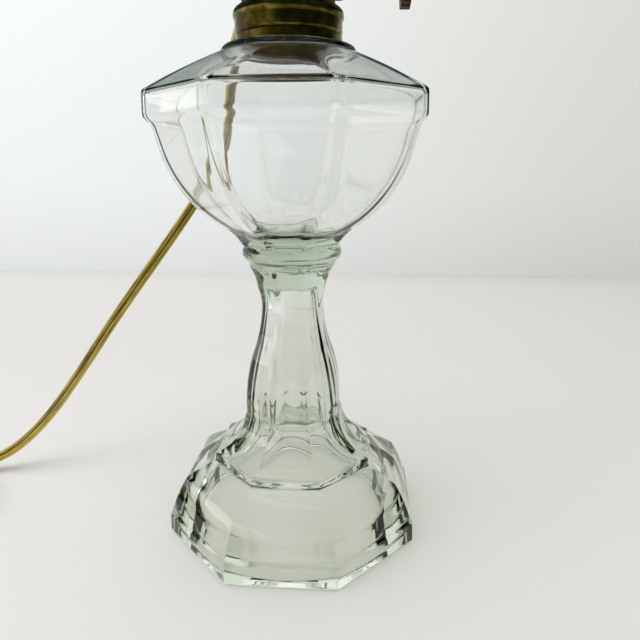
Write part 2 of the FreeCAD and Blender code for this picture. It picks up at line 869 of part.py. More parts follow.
leaves = []
terminals = []
for side in (-1, 1):
    leaf = doc.addObject("Part::Box", "switch_leaf")
    leaf.setExpression("Length", bound("leaf_width"))
    leaf.setExpression("Width", bound("leaf_thickness"))
    leaf.setExpression("Height", bound("leaf_length"))
    near = "cam_radius + leaf_clearance" if side > 0 else "-(cam_radius + leaf_clearance + leaf_thickness)"
    leaf.setExpression("Placement.Base.x", bound("-leaf_width / 2"))
    leaf.setExpression("Placement.Base.y", bound(near))
    leaf.setExpression("Placement.Base.z", bound("switch_start + switch_wall"))
    leaves.append(leaf)
    terminals.append(upright("switch_terminal", "terminal_radius", "terminal_height",
                             "switch_start - terminal_height", y=f"terminal_offset * {side}"))
beside_switch(group("switch_contacts", leaves), "switch_contacts")
beside_switch(group("switch_terminals", terminals), "switch_terminals")

nut_block = prism("switch_nut_block", 6, "switch_nut_radius", "switch_nut_thickness",
                  "drum_radius + running_clearance")
nut_bore = upright("switch_nut_bore", "switch_boss + thread_clearance",
                   "switch_nut_thickness + overrun * 2", "drum_radius - overrun")
beside_switch(cut("switch_nut", nut_block, nut_bore), "switch_nut")

knob_disc = turned("knob_disc", [
    ("shaft_radius", "shaft_end - knob_hub_length"),
    ("knob_hub_radius", "shaft_end - knob_hub_length"),
    ("knob_hub_radius", "shaft_end + knob_dish"),
    ("knob_radius - knob_rim", "shaft_end + knob_dish"),
    ("knob_radius - knob_rim", "shaft_end"),
    ("knob_radius", "shaft_end"),
    ("knob_radius", "shaft_end + knob_thickness"),
    ("knob_radius - knob_rim", "shaft_end + knob_thickness"),
    ("knob_radius - knob_rim", "shaft_end + knob_thickness - knob_dish"),
    ("0", "shaft_end + knob_thickness - knob_dish"),
    ("0", "shaft_end"),
    ("shaft_radius", "shaft_end"),
])
scallops = []
for index in range(int(size("scallop_count"))):
    turn = 2 * math.pi * index / size("scallop_count")
    scallop = rod("knob_scallop", "knob_scallop", "knob_thickness + overrun * 2")
    reach = size("knob_radius")
    scallop.Placement.Base = Vector(reach * math.cos(turn), reach * math.sin(turn),
                                    size("shaft_end - overrun"))
    scallops.append(scallop)
beside_switch(cut("turn_knob", knob_disc, group("knob_scallops", scallops)), "turn_knob")

# Basket: a pierced bowl on the drum's roof
basket_bowl = turned("basket_bowl", [
    ("nipple_radius + hole_clearance", "roof_z"),
    ("hub_radius", "roof_z"),
    ("basket_radius", "gallery_z", bow_shares["basket"]),
    ("basket_radius - basket_edge", "gallery_z"),
    ("hub_radius", "hub_top_z", back("basket")),
    ("nipple_radius + hole_clearance", "hub_top_z"),
])
slot_body = doc.addObject("PartDesign::Body", "basket_slots")
slot_sketch = sketch_on(slot_body, "XY_Plane", "slot_outline")
slot_in, slot_out = "slot_radius - slot_length / 2", "slot_radius + slot_length / 2"
draw(slot_sketch, [
    (slot_in, "-slot_width / 2", (f"{slot_in} - slot_width / 2", "0")),
    (slot_out, "-slot_width / 2"),
    (slot_out, "slot_width / 2", (f"{slot_out} + slot_width / 2", "0")),
    (slot_in, "slot_width / 2"),
])
slot_pad = slot_body.newObject("PartDesign::Pad", "slot_pad")
slot_pad.Profile = slot_sketch
slot_pad.setExpression("Length", bound("gallery_z"))
slots = slot_body.newObject("PartDesign::PolarPattern", "slot_ring")
slots.Originals = [slot_pad]
slots.Axis = (slot_sketch, ["N_Axis"])
slots.Angle = 360
slots.setExpression("Occurrences", bound("slot_count"))
slot_body.Tip = slots
node(cut("pierced_basket", basket_bowl, slot_body), "pierced_basket")

# Gallery: the ring that a glass chimney stands on, with its spring prongs
gallery = node(turned("chimney_gallery", [
    ("gallery_bore", "gallery_z"),
    ("gallery_radius", "gallery_z"),
    ("gallery_radius", "seat_z + gallery_lip"),
    ("gallery_radius - gallery_sheet", "seat_z + gallery_lip"),
    ("gallery_radius - gallery_sheet", "seat_z - gallery_step"),
    ("seat_radius", "seat_z - gallery_step"),
    ("seat_radius", "seat_z"),
    ("gallery_bore", "seat_z"),
]), "chimney_gallery")
prong_foot_z = "gallery_z"
prong_waist_z = "seat_z + prong_height / 2"
prong_sketch = sketch_on(gallery, "XZ_Plane", "prong_outline")
draw(prong_sketch, [
    ("prong_radius + prong_lean + prong_sheet", prong_foot_z, back("prong_low")),
    ("prong_radius + prong_lean", prong_foot_z),
    ("prong_radius", prong_waist_z, bow_shares["prong_low"]),
    ("prong_radius + prong_flare", "seat_z + prong_height", bow_shares["prong_high"]),
    ("prong_radius + prong_flare + prong_sheet", "seat_z + prong_height"),
    ("prong_radius + prong_sheet", prong_waist_z, back("prong_high")),
])
prong = gallery.newObject("PartDesign::Pad", "prong")
prong.Profile = prong_sketch
prong.SideType = "Symmetric"
prong.setExpression("Length", bound("prong_width"))
prongs = gallery.newObject("PartDesign::PolarPattern", "prong_ring")
prongs.Originals = [prong]
prongs.Axis = (prong_sketch, ["V_Axis"])
prongs.Angle = 360
prongs.setExpression("Occurrences", bound("prong_count"))
gallery.Tip = prongs

# Nipple and its two lock nuts, which hold basket and drum together
node(turned("threaded_nipple", [
    ("nipple_bore", "ceiling_of_drum_z - nipple_below"),
    ("nipple_radius", "ceiling_of_drum_z - nipple_below"),
    ("nipple_radius", "roof_z + nipple_above"),
    ("nipple_bore", "roof_z + nipple_above"),
]), "threaded_nipple")
lock_nuts = []
for foot in ("ceiling_of_drum_z - nut_thickness", "hub_top_z"):
    block = prism("lock_nut_block", 6, "nut_corner_radius", "nut_thickness", foot)
    bore = upright("lock_nut_bore", "nipple_radius + thread_clearance",
                   "nut_thickness + overrun * 2", f"{foot} - overrun")
    lock_nuts.append(cut("lock_nut", block, bore))
node(group("lock_nuts", lock_nuts), "lock_nuts")

# Socket: cap, shell, liner, insulating body, screw shell, contact and terminal screws
node(turned("socket_cap", [
    ("nipple_radius + thread_clearance", "cap_foot_z"),
    ("cap_hub_radius", "cap_foot_z"),
    ("cap_hub_radius", "bell_foot_z - socket_sheet"),
    ("cap_outside", "bell_top_z", bow_shares["cap_bell"]),
    ("cap_outside", "cap_rim_z"),
    ("cap_inside", "cap_rim_z"),
    ("cap_inside", "bell_top_z"),
    ("cap_hub_radius - socket_sheet", "bell_foot_z", back("cap_bell")),
    ("nipple_radius + thread_clearance", "bell_foot_z"),
]), "socket_cap")
node(turned("socket_shell", [
    ("socket_inside", "shell_foot_z"),
    ("socket_radius", "shell_foot_z"),
    ("socket_radius", "shell_top_z - socket_roll * 2"),
    ("socket_radius", "shell_top_z", ("socket_radius + socket_roll", "shell_top_z - socket_roll")),
    ("socket_inside", "shell_top_z"),
]), "socket_shell")
node(turned("socket_liner", [
    ("liner_outside - liner_sheet", "shell_foot_z"),
    ("liner_outside", "shell_foot_z"),
    ("liner_outside", "shell_top_z - socket_roll * 2"),
    ("liner_outside - liner_sheet", "shell_top_z - socket_roll * 2"),
]), "socket_liner")
node(turned("socket_insulator", [
    ("rivet_radius + hole_clearance", "insulator_z"),
    ("insulator_radius", "insulator_z"),
    ("insulator_radius", "insulator_top_z"),
    ("rivet_radius + hole_clearance", "insulator_top_z"),
]), "socket_insulator")
node(turned("screw_shell", [
    ("screw_shell_bore", "insulator_top_z"),
    ("screw_shell_radius", "insulator_top_z"),
    ("screw_shell_radius", "insulator_top_z + screw_shell_height"),
    ("screw_shell_radius - screw_shell_sheet", "insulator_top_z + screw_shell_height"),
    ("screw_shell_radius - screw_shell_sheet", "insulator_top_z + screw_shell_sheet"),
    ("screw_shell_bore", "insulator_top_z + screw_shell_sheet"),
]), "screw_shell")
node(turned("centre_contact", [
    ("0", "insulator_z"),
    ("rivet_radius", "insulator_z"),
    ("rivet_radius", "insulator_top_z"),
    ("contact_radius", "insulator_top_z"),
    ("contact_radius", "insulator_top_z + contact_sheet"),
    ("contact_tip_radius", "contact_top_z"),
    ("0", "contact_top_z"),
]), "centre_contact")
screws = [upright("terminal_screw", "screw_radius", "screw_height", "insulator_z - screw_height",
                  x=f"screw_offset * {side}") for side in (-1, 1)]
node(group("terminal_screws", screws), "terminal_screws")

# Bulb: tip, insulator, cap, glass, mount, support wires and filament
node(upright("bulb_tip", "tip_radius", "tip_height", "tip_z"), "bulb_tip")
node(turned("bulb_insulator", [
    ("0", "insulator_of_bulb_z"),
    ("tip_radius + tip_margin", "insulator_of_bulb_z"),
    ("bulb_insulator_radius", "bulb_cap_z"),
    ("0", "bulb_cap_z"),
]), "bulb_insulator")
node(turned("bulb_cap", [
    ("bulb_insulator_radius - bulb_cap_chamfer", "bulb_cap_z"),
    ("bulb_insulator_radius", "bulb_cap_z"),
    ("bulb_cap_radius", "bulb_cap_z + bulb_cap_chamfer"),
    ("bulb_cap_radius", "bulb_cap_top_z"),
    ("bulb_cap_inside", "bulb_cap_top_z"),
    ("bulb_cap_inside", "bulb_cap_z + bulb_cap_chamfer"),
    ("bulb_insulator_radius - bulb_cap_chamfer", "bulb_cap_z + bulb_cap_sheet"),
]), "bulb_cap")
node(turned("bulb_glass", [
    ("bulb_tail_radius - bulb_glass", "bulb_tail_z"),
    ("bulb_tail_radius", "bulb_tail_z"),
    ("bulb_neck_radius", "bulb_cap_top_z"),
    ("bulb_radius", "bulb_wide_z", bow_shares["bulb_flank"]),
    ("crown_flat", "bulb_top_z", bow_shares["bulb_crown"]),
    ("0", "bulb_top_z"),
    ("0", "bulb_top_z - bulb_glass"),
    ("crown_flat", "bulb_top_z - bulb_glass"),
    ("bulb_radius - bulb_glass", "bulb_wide_z", back("bulb_crown")),
    ("bulb_neck_radius - bulb_glass", "bulb_cap_top_z", back("bulb_flank")),
]), "bulb_glass")
mount_waist_share = 0.5
node(turned("bulb_mount", [
    ("0", "bulb_tail_z"),
    ("bulb_tail_radius - bulb_glass - seat_clearance", "bulb_tail_z"),
    ("mount_radius", mix("bulb_tail_z", "mount_top_z", mount_waist_share), bow_shares["mount"]),
    ("mount_radius", "mount_top_z"),
    ("0", "mount_top_z"),
]), "bulb_mount")


def point(*formulas):
    """A point from three formulas in sheet names."""
    return Vector(*(size(formula) for formula in formulas))


# Each support stands clear of the mount by what its tilted foot dips
supports = []
for side in (-1, 1):
    foot = point(f"support_foot * {side}", "0", "mount_top_z + support_radius")
    tip = point(f"support_spread * {side}", "0", "mount_top_z + support_rise")
    support = rod("support_wire", "support_radius", "support_rise")
    support.Placement = Placement(foot, Rotation(Vector(0, 0, 1), tip - foot))
    support.setExpression("Height", None)
    support.Height = (tip - foot).Length
    supports.append(support)
node(group("support_wires", supports), "support_wires")

filament_z = "mount_top_z + support_rise"
filament_end = "support_spread - support_radius - filament_radius - filament_clearance"
filament_arc = Part.Arc(
    point(f"-({filament_end})", "0", filament_z),
    point("0", "0", f"{filament_z} - filament_sag"),
    point(filament_end, "0", filament_z),
).toShape()
node(swept("filament", Part.Wire([filament_arc]), "filament_radius * 2"), "filament")

# Leads inside the burner: two from the cord, and one from the switch to the socket
exit_point = CORD_SIDE.multVec(point("0", "0", "exit_radius"))
outwards = CORD_SIDE.Rotation.multVec(Vector(0, 0, 1))
sideways = Vector(0, 0, 1).cross(outwards)
lead_gap = size("lead_diameter + hole_clearance") / 2
terminal_x = "switch_start - terminal_height"
nipple_entry = "ceiling_of_drum_z - nipple_below - lead_diameter"
screw_foot_z = "insulator_z - screw_height"
lead_turn_share = 0.45
lead_in = exit_point - outwards * size("exit_radius") * (1 - lead_turn_share)
pair = "lead_diameter / 2 + seat_clearance + seat_clearance"
rise_z = "roof_z + nipple_above + lead_diameter"

leads = [
    [
        exit_point + sideways * lead_gap,
        lead_in + sideways * lead_gap,
        point(f"-({pair})", "lead_diameter", "bushing_z + lead_diameter * 2"),
        point(f"-({pair})", "0", nipple_entry),
        point(f"-({pair})", "0", rise_z),
        point("-screw_offset", "0", f"{screw_foot_z} - lead_diameter * 2"),
        point("-screw_offset", "0", screw_foot_z),
    ],
    [
        exit_point - sideways * lead_gap,
        lead_in - sideways * lead_gap,
        point(f"{terminal_x} - lead_diameter * 2", "terminal_offset", "switch_z"),
        point(terminal_x, "terminal_offset", "switch_z"),
    ],
    [
        point(terminal_x, "-terminal_offset", "switch_z"),
        point(f"{terminal_x} - lead_diameter", "-terminal_offset", "switch_z"),
        point(f"{pair} - lead_diameter", "-terminal_offset / 2", f"({nipple_entry} + switch_z) / 2"),
        point(pair, "0", nipple_entry),
        point(pair, "0", rise_z),
        point("screw_offset", "0", f"{screw_foot_z} - lead_diameter * 2"),
        point("screw_offset", "0", screw_foot_z),
    ],
]
lead_tubes = [swept(f"lead_{index + 1}", rounded_path(points), "lead_diameter")
              for index, points in enumerate(leads)]
node(group("inner_leads", lead_tubes), "inner_leads")

# Cord: from the bushing, down behind the font and along the table to the coil
CORD_ROUTE = [
    (-22, 32, 212), (-31, 47, 202), (-36, 58, 180), (-42, 62, 156), (-56, 58, 133),
    (-73, 51, 109), (-93, 41, 81), (-111, 34, 54), (-130, 27, 27), (-150, 20.5, 8.5),
    (-170, 16, 3.5), (-190, 11, 3.5),
]
run_points = [exit_point] + [Vector(*place) for place in CORD_ROUTE]
run_path = rounded_path(run_points, "cord run")
node(swept("cord_run", run_path, "cord_diameter"), "cord_run")

# Coil: the length that is put away, spiralling in and out again in two layers
COIL_TURNS = 8.21
REVERSAL_SOFTNESS = 0.5
pitch = size("coil_pitch")
total_angle = 2 * math.pi * COIL_TURNS
reversal = total_angle / 2


def steady(angle):
    """Distance from the reversal, in radians, rounded where it turns round."""
    return math.hypot(angle - reversal, REVERSAL_SOFTNESS) - REVERSAL_SOFTNESS


def coil_radius(angle):
    """Radius of the coil's centre line after an angle."""
    return size("coil_radius") - pitch * (steady(0) - steady(angle)) / (2 * math.pi)


def coil_slope(angle):
    """Change of the radius with the angle."""
    return pitch * (angle - reversal) / math.hypot(angle - reversal, REVERSAL_SOFTNESS) / (2 * math.pi)


heading = run_points[-1] - run_points[-2]
coil_start = run_points[-1]
start_azimuth = math.atan2(heading.y, heading.x) - math.atan2(coil_radius(0), coil_slope(0))
coil_centre = Vector(
    coil_start.x - coil_radius(0) * math.cos(start_azimuth),
    coil_start.y - coil_radius(0) * math.sin(start_azimuth),
    0,
)


def climb(angle):
    """Share of the step to the upper layer after an angle, and its slope."""
    span = math.pi
    share = min(max((angle - reversal) / span + 0.5, 0), 1)
    return share * share * (3 - 2 * share), 6 * share * (1 - share) / span


def coil_point(angle):
    """Centre line and direction of the coil after an angle."""
    azimuth, radius, slope = start_azimuth + angle, coil_radius(angle), coil_slope(angle)
    risen, rate = climb(angle)
    level = size("coil_low_z") + (size("coil_high_z") - size("coil_low_z")) * risen
    across = Vector(math.cos(azimuth), math.sin(azimuth), 0)
    along = Vector(-math.sin(azimuth), math.cos(azimuth), 0)
    rise = (size("coil_high_z") - size("coil_low_z")) * rate
    direction = across * slope + along * radius + Vector(0, 0, rise)
    return coil_centre + across * radius + Vector(0, 0, level), direction.normalize()


quarters = math.ceil(COIL_TURNS * 4)
coil_edges = []
for index in range(quarters):
    here = coil_point(total_angle * index / quarters)
    there = coil_point(total_angle * (index + 1) / quarters)
    coil_edges += biarc(here[0], here[1], there[0], there[1])
coil_path = Part.Wire(coil_edges)
node(swept("cord_coil", coil_path, "cord_diameter"), "cord_coil")

# Tail: from the coil to the plug
coil_end, end_direction = coil_point(total_angle)
TAIL_RUN = 17.0
TAIL_ROUTE = [(-214, -62, 7.2), (-203, -75, 6.0), (-187, -81, 6.0)]
tail_points = [coil_end, coil_end + end_direction * TAIL_RUN] + [Vector(*place) for place in TAIL_ROUTE]
tail_path = rounded_path(tail_points, "cord tail")
node(swept("cord_tail", tail_path, "cord_diameter"), "cord_tail")

# Least distance between stretches of the coil that are over a third of a turn apart
samples = 720
spots = [coil_point(total_angle * index / samples)[0] for index in range(samples + 1)]
apart = math.ceil(samples / COIL_TURNS / 3)
least = min((spots[a] - spots[b]).Length for a in range(samples) for b in range(a + apart, samples + 1))
print(f"coil: least gap {least - size('cord_diameter'):.2f}, least radius {coil_radius(reversal):.1f}")
print(f"cord lengths: run {run_path.Length:.0f}, coil {coil_path.Length:.0f}, tail {tail_path.Length:.0f}")

# Tie: a strap round the coil's turns
TIE_AZIMUTH = 300.0
tie_turn = (math.radians(TIE_AZIMUTH) - start_azimuth) % (2 * math.pi)
tie_angles = [tie_turn + 2 * math.pi * turn for turn in range(int(COIL_TURNS) + 1)]
tie_radii = [coil_radius(angle) for angle in tie_angles if angle <= total_angle]
slack = size("cord_diameter / 2 + tie_clearance")
half_strap = size("tie_width / 2")
inner_sagitta = min(tie_radii) - math.sqrt(min(tie_radii) ** 2 - half_strap ** 2)
inner_drift = pitch * half_strap / min(tie_radii) / (2 * math.pi)
tie_low = min(tie_radii) - inner_sagitta - inner_drift - slack
tie_high = max(tie_radii) + slack
tie_base, tie_top = size("tie_thickness"), size("coil_high_z") + slack


def ring_edges(left, bottom, right, top, corner):
    """A rounded rectangle in the XZ plane, as a closed wire."""
    edges = []
    corners = [(right, bottom, -1, 1), (right, top, -1, -1), (left, top, 1, -1), (left, bottom, 1, 1)]
    for index, (x, z, inwards, upwards) in enumerate(corners):
        centre = Vector(x + inwards * corner, 0, z + upwards * corner)
        reach = corner * math.sqrt(0.5)
        a = centre + Vector(-inwards * corner, 0, 0)
        b = centre + Vector(0, 0, -upwards * corner)
        if index % 2 == 0:
            a, b = b, a
        middle = centre + Vector(-inwards * reach, 0, -upwards * reach)
        edges.append((a, middle, b))
    wire = []
    for index, (a, middle, b) in enumerate(edges):
        wire.append(Part.LineSegment(edges[index - 1][2], a).toShape())
        wire.append(Part.Arc(a, middle, b).toShape())
    return Part.Wire(wire)


thickness = size("tie_thickness")
inner_corner = size("tie_corner")
outer_ring = ring_edges(tie_low - thickness, tie_base - thickness, tie_high + thickness,
                        tie_top + thickness, inner_corner + thickness)
inner_ring = ring_edges(tie_low, tie_base, tie_high, tie_top, inner_corner)
across_strap = Vector(0, size("tie_width"), 0)
strap = Part.Face(outer_ring).extrude(across_strap).cut(Part.Face(inner_ring).extrude(across_strap))
tie = doc.addObject("Part::Feature", "cord_tie")
tie.Shape = strap
tie_rotation = Rotation(Vector(0, 0, 1), TIE_AZIMUTH)
tie.Placement = Placement(coil_centre - tie_rotation.multVec(across_strap) / 2, tie_rotation)
node(tie, "cord_tie")

# Plug: a two-blade body, lying on the table
plug_heading = tail_points[-1] - tail_points[-2]
plug_place = Placement(
    Vector(tail_points[-1].x, tail_points[-1].y, 0),
    Rotation(Vector(0, 0, 1), math.degrees(math.atan2(plug_heading.y, plug_heading.x))),
)
plug = doc.addObject("PartDesign::Body", "plug_body")
plug_sketch = sketch_on(plug, "XY_Plane", "plug_outline")
draw(plug_sketch, [
    ("0", "-plug_neck_width / 2"),
    ("plug_shoulder", "-plug_width / 2"),
    ("plug_length", "-plug_width / 2"),
    ("plug_length", "plug_width / 2"),
    ("plug_shoulder", "plug_width / 2"),
    ("0", "plug_neck_width / 2"),
])
plug_pad = plug.newObject("PartDesign::Pad", "plug_pad")
plug_pad.Profile = plug_sketch
plug_pad.setExpression("Length", bound("plug_thickness"))
doc.recompute()
plug_fillet = plug.newObject("PartDesign::Fillet", "plug_fillet")
long_edges = [f"Edge{index + 1}" for index, edge in enumerate(plug_pad.Shape.Edges)
              if min(vertex.X for vertex in edge.Vertexes) < size("plug_length") - 1e-6]
plug_fillet.Base = (plug_pad, long_edges)
plug_fillet.setExpression("Radius", bound("plug_round"))
plug.Tip = plug_fillet
plug.Placement = plug_place
node(plug, "plug_body")

blades = []
for side in (-1, 1):
    blade = doc.addObject("Part::Box", "plug_blade")
    blade.setExpression("Length", bound("blade_length"))
    blade.setExpression("Width", bound("blade_thickness"))
    blade.setExpression("Height", bound("blade_width"))
    blade.setExpression("Placement.Base.x", bound("plug_length"))
    blade.setExpression("Placement.Base.y", bound(f"(blade_spacing * {side} - blade_thickness) / 2"))
    blade.setExpression("Placement.Base.z", bound("(plug_thickness - blade_width) / 2"))
    blades.append(blade)
blade_group = group("plug_blades", blades)
blade_group.Placement = plug_place
node(blade_group, "plug_blades")

# Every object is sound before anything is written
doc.recompute()
for item in doc.Objects:
    if "Invalid" in item.State or "Error" in item.State:
        raise RuntimeError(f"{item.Name} failed to build")
for item in NODES:
    if item.Shape.isNull() or not item.Shape.isValid() or not item.Shape.Solids:
        raise RuntimeError(f"{item.Label} has no sound solid")
    item.Shape.exportStep(f"{PARTS}/{item.Label}.step")
    print(f"{item.Label}: {len(item.Shape.Solids)} solids, {item.Shape.Volume:.0f} mm3")
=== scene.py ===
"""Looks of an electrified oil lamp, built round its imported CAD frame.

Profiles, routes and the camera's place are written in millimetres. The stage, the lights and the depths of
bumps are in metres, and the scale of a noise is per metre.
"""

import json
import math

import bpy
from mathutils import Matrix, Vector, noise


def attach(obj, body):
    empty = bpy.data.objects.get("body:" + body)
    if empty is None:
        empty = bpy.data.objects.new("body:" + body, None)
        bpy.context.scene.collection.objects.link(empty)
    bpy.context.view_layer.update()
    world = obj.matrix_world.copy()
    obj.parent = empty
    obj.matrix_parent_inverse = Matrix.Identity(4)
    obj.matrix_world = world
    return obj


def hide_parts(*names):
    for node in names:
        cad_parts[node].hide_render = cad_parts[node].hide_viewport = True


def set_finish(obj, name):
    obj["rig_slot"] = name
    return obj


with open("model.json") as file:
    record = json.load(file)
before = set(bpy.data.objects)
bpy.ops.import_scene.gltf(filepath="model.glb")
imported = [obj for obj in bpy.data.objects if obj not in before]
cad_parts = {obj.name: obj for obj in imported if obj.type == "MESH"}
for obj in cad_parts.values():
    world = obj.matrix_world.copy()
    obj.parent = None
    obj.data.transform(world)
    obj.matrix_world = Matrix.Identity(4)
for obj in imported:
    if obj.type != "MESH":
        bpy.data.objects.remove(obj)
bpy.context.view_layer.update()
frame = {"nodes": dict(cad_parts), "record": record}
NODES = frame["nodes"]
MM = 0.001
scene = bpy.context.scene


def link(name, data):
    """A new object in the scene."""
    piece = bpy.data.objects.new(name, data)
    scene.collection.objects.link(piece)
    return piece


def mesh_piece(name, vertices, faces, smooth=True):
    """A mesh object from vertices in metres."""
    mesh = bpy.data.meshes.new(name)
    mesh.from_pydata([tuple(vertex) for vertex in vertices], [], faces)
    mesh.validate()
    mesh.polygons.foreach_set("use_smooth", [smooth] * len(mesh.polygons))
    mesh.update()
    return link(name, mesh)


# Camera

LENS = 30.55
SENSOR = 36
NEAR_CLIP = 0.01
CAMERA_PLACE = (26.3, -216.7, 154.0)
CAMERA_TURN = (73.55, 0, 3.96)

lens = bpy.data.cameras.new("camera")
lens.lens = LENS
lens.sensor_width = SENSOR
lens.clip_start = NEAR_CLIP
camera = link("camera", lens)
camera.location = Vector(CAMERA_PLACE) * MM
camera.rotation_euler = [math.radians(angle) for angle in CAMERA_TURN]
scene.camera = camera
scene.view_settings.view_transform = "Standard"

# Cord: one route from the bushing to the plug, made of its run, its coil and its tail

EXIT_RADIUS, EXIT_AZIMUTH, EXIT_LEVEL = 21.2, 124.5, 212.0
COIL_TURNS, COIL_RADIUS, COIL_PITCH = 8.21, 39.0, 5.7
COIL_LOW, COIL_HIGH = 3.5, 9.2
REVERSAL_SOFTNESS = 0.5
COIL_POINTS_PER_TURN = 16
COIL_OUTSET_SHARE = 0.5
TAIL_RUN = 17.0
CORD_ROUTE = [
    (-22, 32, 212), (-31, 47, 202), (-36, 58, 180), (-42, 62, 156), (-56, 58, 133),
    (-73, 51, 109), (-93, 41, 81), (-111, 34, 54), (-130, 27, 27), (-150, 20.5, 8.5),
    (-170, 16, 3.5), (-190, 11, 3.5),
]
TAIL_ROUTE = [(-214, -62, 7.2), (-203, -75, 6.0), (-187, -81, 6.0)]
ROUTE_ORDER = 3
ROUTE_STEPS = 12
CORE_RADIUS = 1.34
CORE_OFFSET = 1.26
CORD_FACETS = 28
TWIST_LENGTH = 1100.0
TWIST_START = -0.07


def coil_route(start, heading):
    """Points of a two-layer coil that begins at a point and direction, with its end and direction there."""
    total = 2 * math.pi * COIL_TURNS
    reversal = total / 2

    def steady(angle):
        return math.hypot(angle - reversal, REVERSAL_SOFTNESS) - REVERSAL_SOFTNESS

    def radius(angle):
        return COIL_RADIUS - COIL_PITCH * (steady(0) - steady(angle)) / (2 * math.pi)

    def slope(angle):
        way = angle - reversal
        return COIL_PITCH * way / math.hypot(way, REVERSAL_SOFTNESS) / (2 * math.pi)

    first = math.atan2(heading.y, heading.x) - math.atan2(radius(0), slope(0))
    centre = Vector((start.x - radius(0) * math.cos(first), start.y - radius(0) * math.sin(first), 0))
    step = 2 * math.pi / COIL_POINTS_PER_TURN
    outset = 2 / (1 + math.cos(step))
    reach = 1 + (outset - 1) * COIL_OUTSET_SHARE
    count = math.ceil(total / step)
    points = []
    for index in range(1, count):
        angle = total * index / count
        share = min(max((angle - reversal) / math.pi + 0.5, 0), 1)
        level = COIL_LOW + (COIL_HIGH - COIL_LOW) * share * share * (3 - 2 * share)
        spot = Vector((math.cos(first + angle), math.sin(first + angle), 0)) * radius(angle) * reach
        points.append(centre + spot + Vector((0, 0, level)))
    last = first + total
    across = Vector((math.cos(last), math.sin(last), 0))
    along = Vector((-math.sin(last), math.cos(last), 0))
    end = centre + across * radius(total) + Vector((0, 0, COIL_HIGH))
    return points, end, (across * slope(total) + along * radius(total)).normalized()


def nurbs_line(name, points):
    """Points in metres along the NURBS curve that has a route as its control points."""
    curve = bpy.data.curves.new(name, "CURVE")
    curve.dimensions = "3D"
    spline = curve.splines.new("NURBS")
    spline.points.add(len(points) - 1)
    for spot, place in zip(spline.points, points):
        spot.co = (*(place * MM), 1)
    spline.order_u = ROUTE_ORDER
    spline.use_endpoint_u = True
    spline.resolution_u = ROUTE_STEPS
    holder = link(name, curve)
    bpy.context.view_layer.update()
    line = bpy.data.meshes.new_from_object(holder)
    places = [vertex.co.copy() for vertex in line.vertices]
    bpy.data.objects.remove(holder)
    bpy.data.meshes.remove(line)
    return places


def two_core_outline():
    """Cross-section of the flat cord: two round cores side by side that meet in a seam."""
    outline = []
    for index in range(CORD_FACETS):
        angle = 2 * math.pi * index / CORD_FACETS
        away = abs(math.cos(angle)) * CORE_OFFSET
        reach = away + math.sqrt(max(CORE_RADIUS ** 2 - (math.sin(angle) * CORE_OFFSET) ** 2, 0))
        outline.append((reach * math.cos(angle), reach * math.sin(angle)))
    return outline


def twisted_cord(name, line):
    """The flat cord along a line, turning slowly about its own centre.

    Its attribute "lay" holds each point's place in the cross-section and along the cord, in millimetres.
    """
    outline = two_core_outline()
    count = len(outline)
    vertices, faces, lays = [], [], []
    side = None
    gone = 0.0
    for index, place in enumerate(line):
        before, after = line[max(index - 1, 0)], line[min(index + 1, len(line) - 1)]
        along = (after - before).normalized()
        if side is None:
            side = along.cross(Vector((0, 0, 1))).normalized()
        side = (side - along * side.dot(along)).normalized()
        other = along.cross(side)
        if index:
            gone += (place - line[index - 1]).length
        turn = 2 * math.pi * (gone / (TWIST_LENGTH * MM) + TWIST_START)
        across, up = math.cos(turn), math.sin(turn)
        for x, y in outline:
            u, v = x * across - y * up, x * up + y * across
            vertices.append(place + (side * u + other * v) * MM)
            lays.append((x, y, gone / MM))
        if index:
            base = (index - 1) * count
            above = base + count
            for step in range(count):
                next_step = (step + 1) % count
                faces.append((base + step, base + next_step, above + next_step, above + step))
    faces.append(tuple(range(count - 1, -1, -1)))
    faces.append(tuple(range(len(vertices) - count, len(vertices))))
    piece = mesh_piece(name, vertices, faces)
    lay = piece.data.attributes.new("lay", "FLOAT_VECTOR", "POINT")
    lay.data.foreach_set("vector", [value for spot in lays for value in spot])
    return piece


exit_turn = math.radians(EXIT_AZIMUTH)
cord_exit = Vector((EXIT_RADIUS * math.cos(exit_turn), EXIT_RADIUS * math.sin(exit_turn), EXIT_LEVEL))
run_route = [cord_exit] + [Vector(spot) for spot in CORD_ROUTE]
coil_points, coil_end, coil_heading = coil_route(run_route[-1], run_route[-1] - run_route[-2])
tail_route = [coil_end, coil_end + coil_heading * TAIL_RUN] + [Vector(spot) for spot in TAIL_ROUTE]
cord_line = nurbs_line("cord_route", run_route + coil_points + tail_route)

cord = twisted_cord("lamp_cord", cord_line)
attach(cord, "root")
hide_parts("cord_run", "cord_coil", "cord_tail")
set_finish(cord, "gold_cord")

# Profiles: outlines of half width, height, corner radius and, where they curve, a bow, from pole to pole

ARC_STEPS = 24
STRAIGHT = 1e-9
SIDES = 8
FLAT_STEPS = 8
CORNER_STEPS = 6
LEAST_ROUNDNESS = 0.02
LEAST_FLAT_SHARE = 0.3
EIGHTH = 2 * math.pi / SIDES


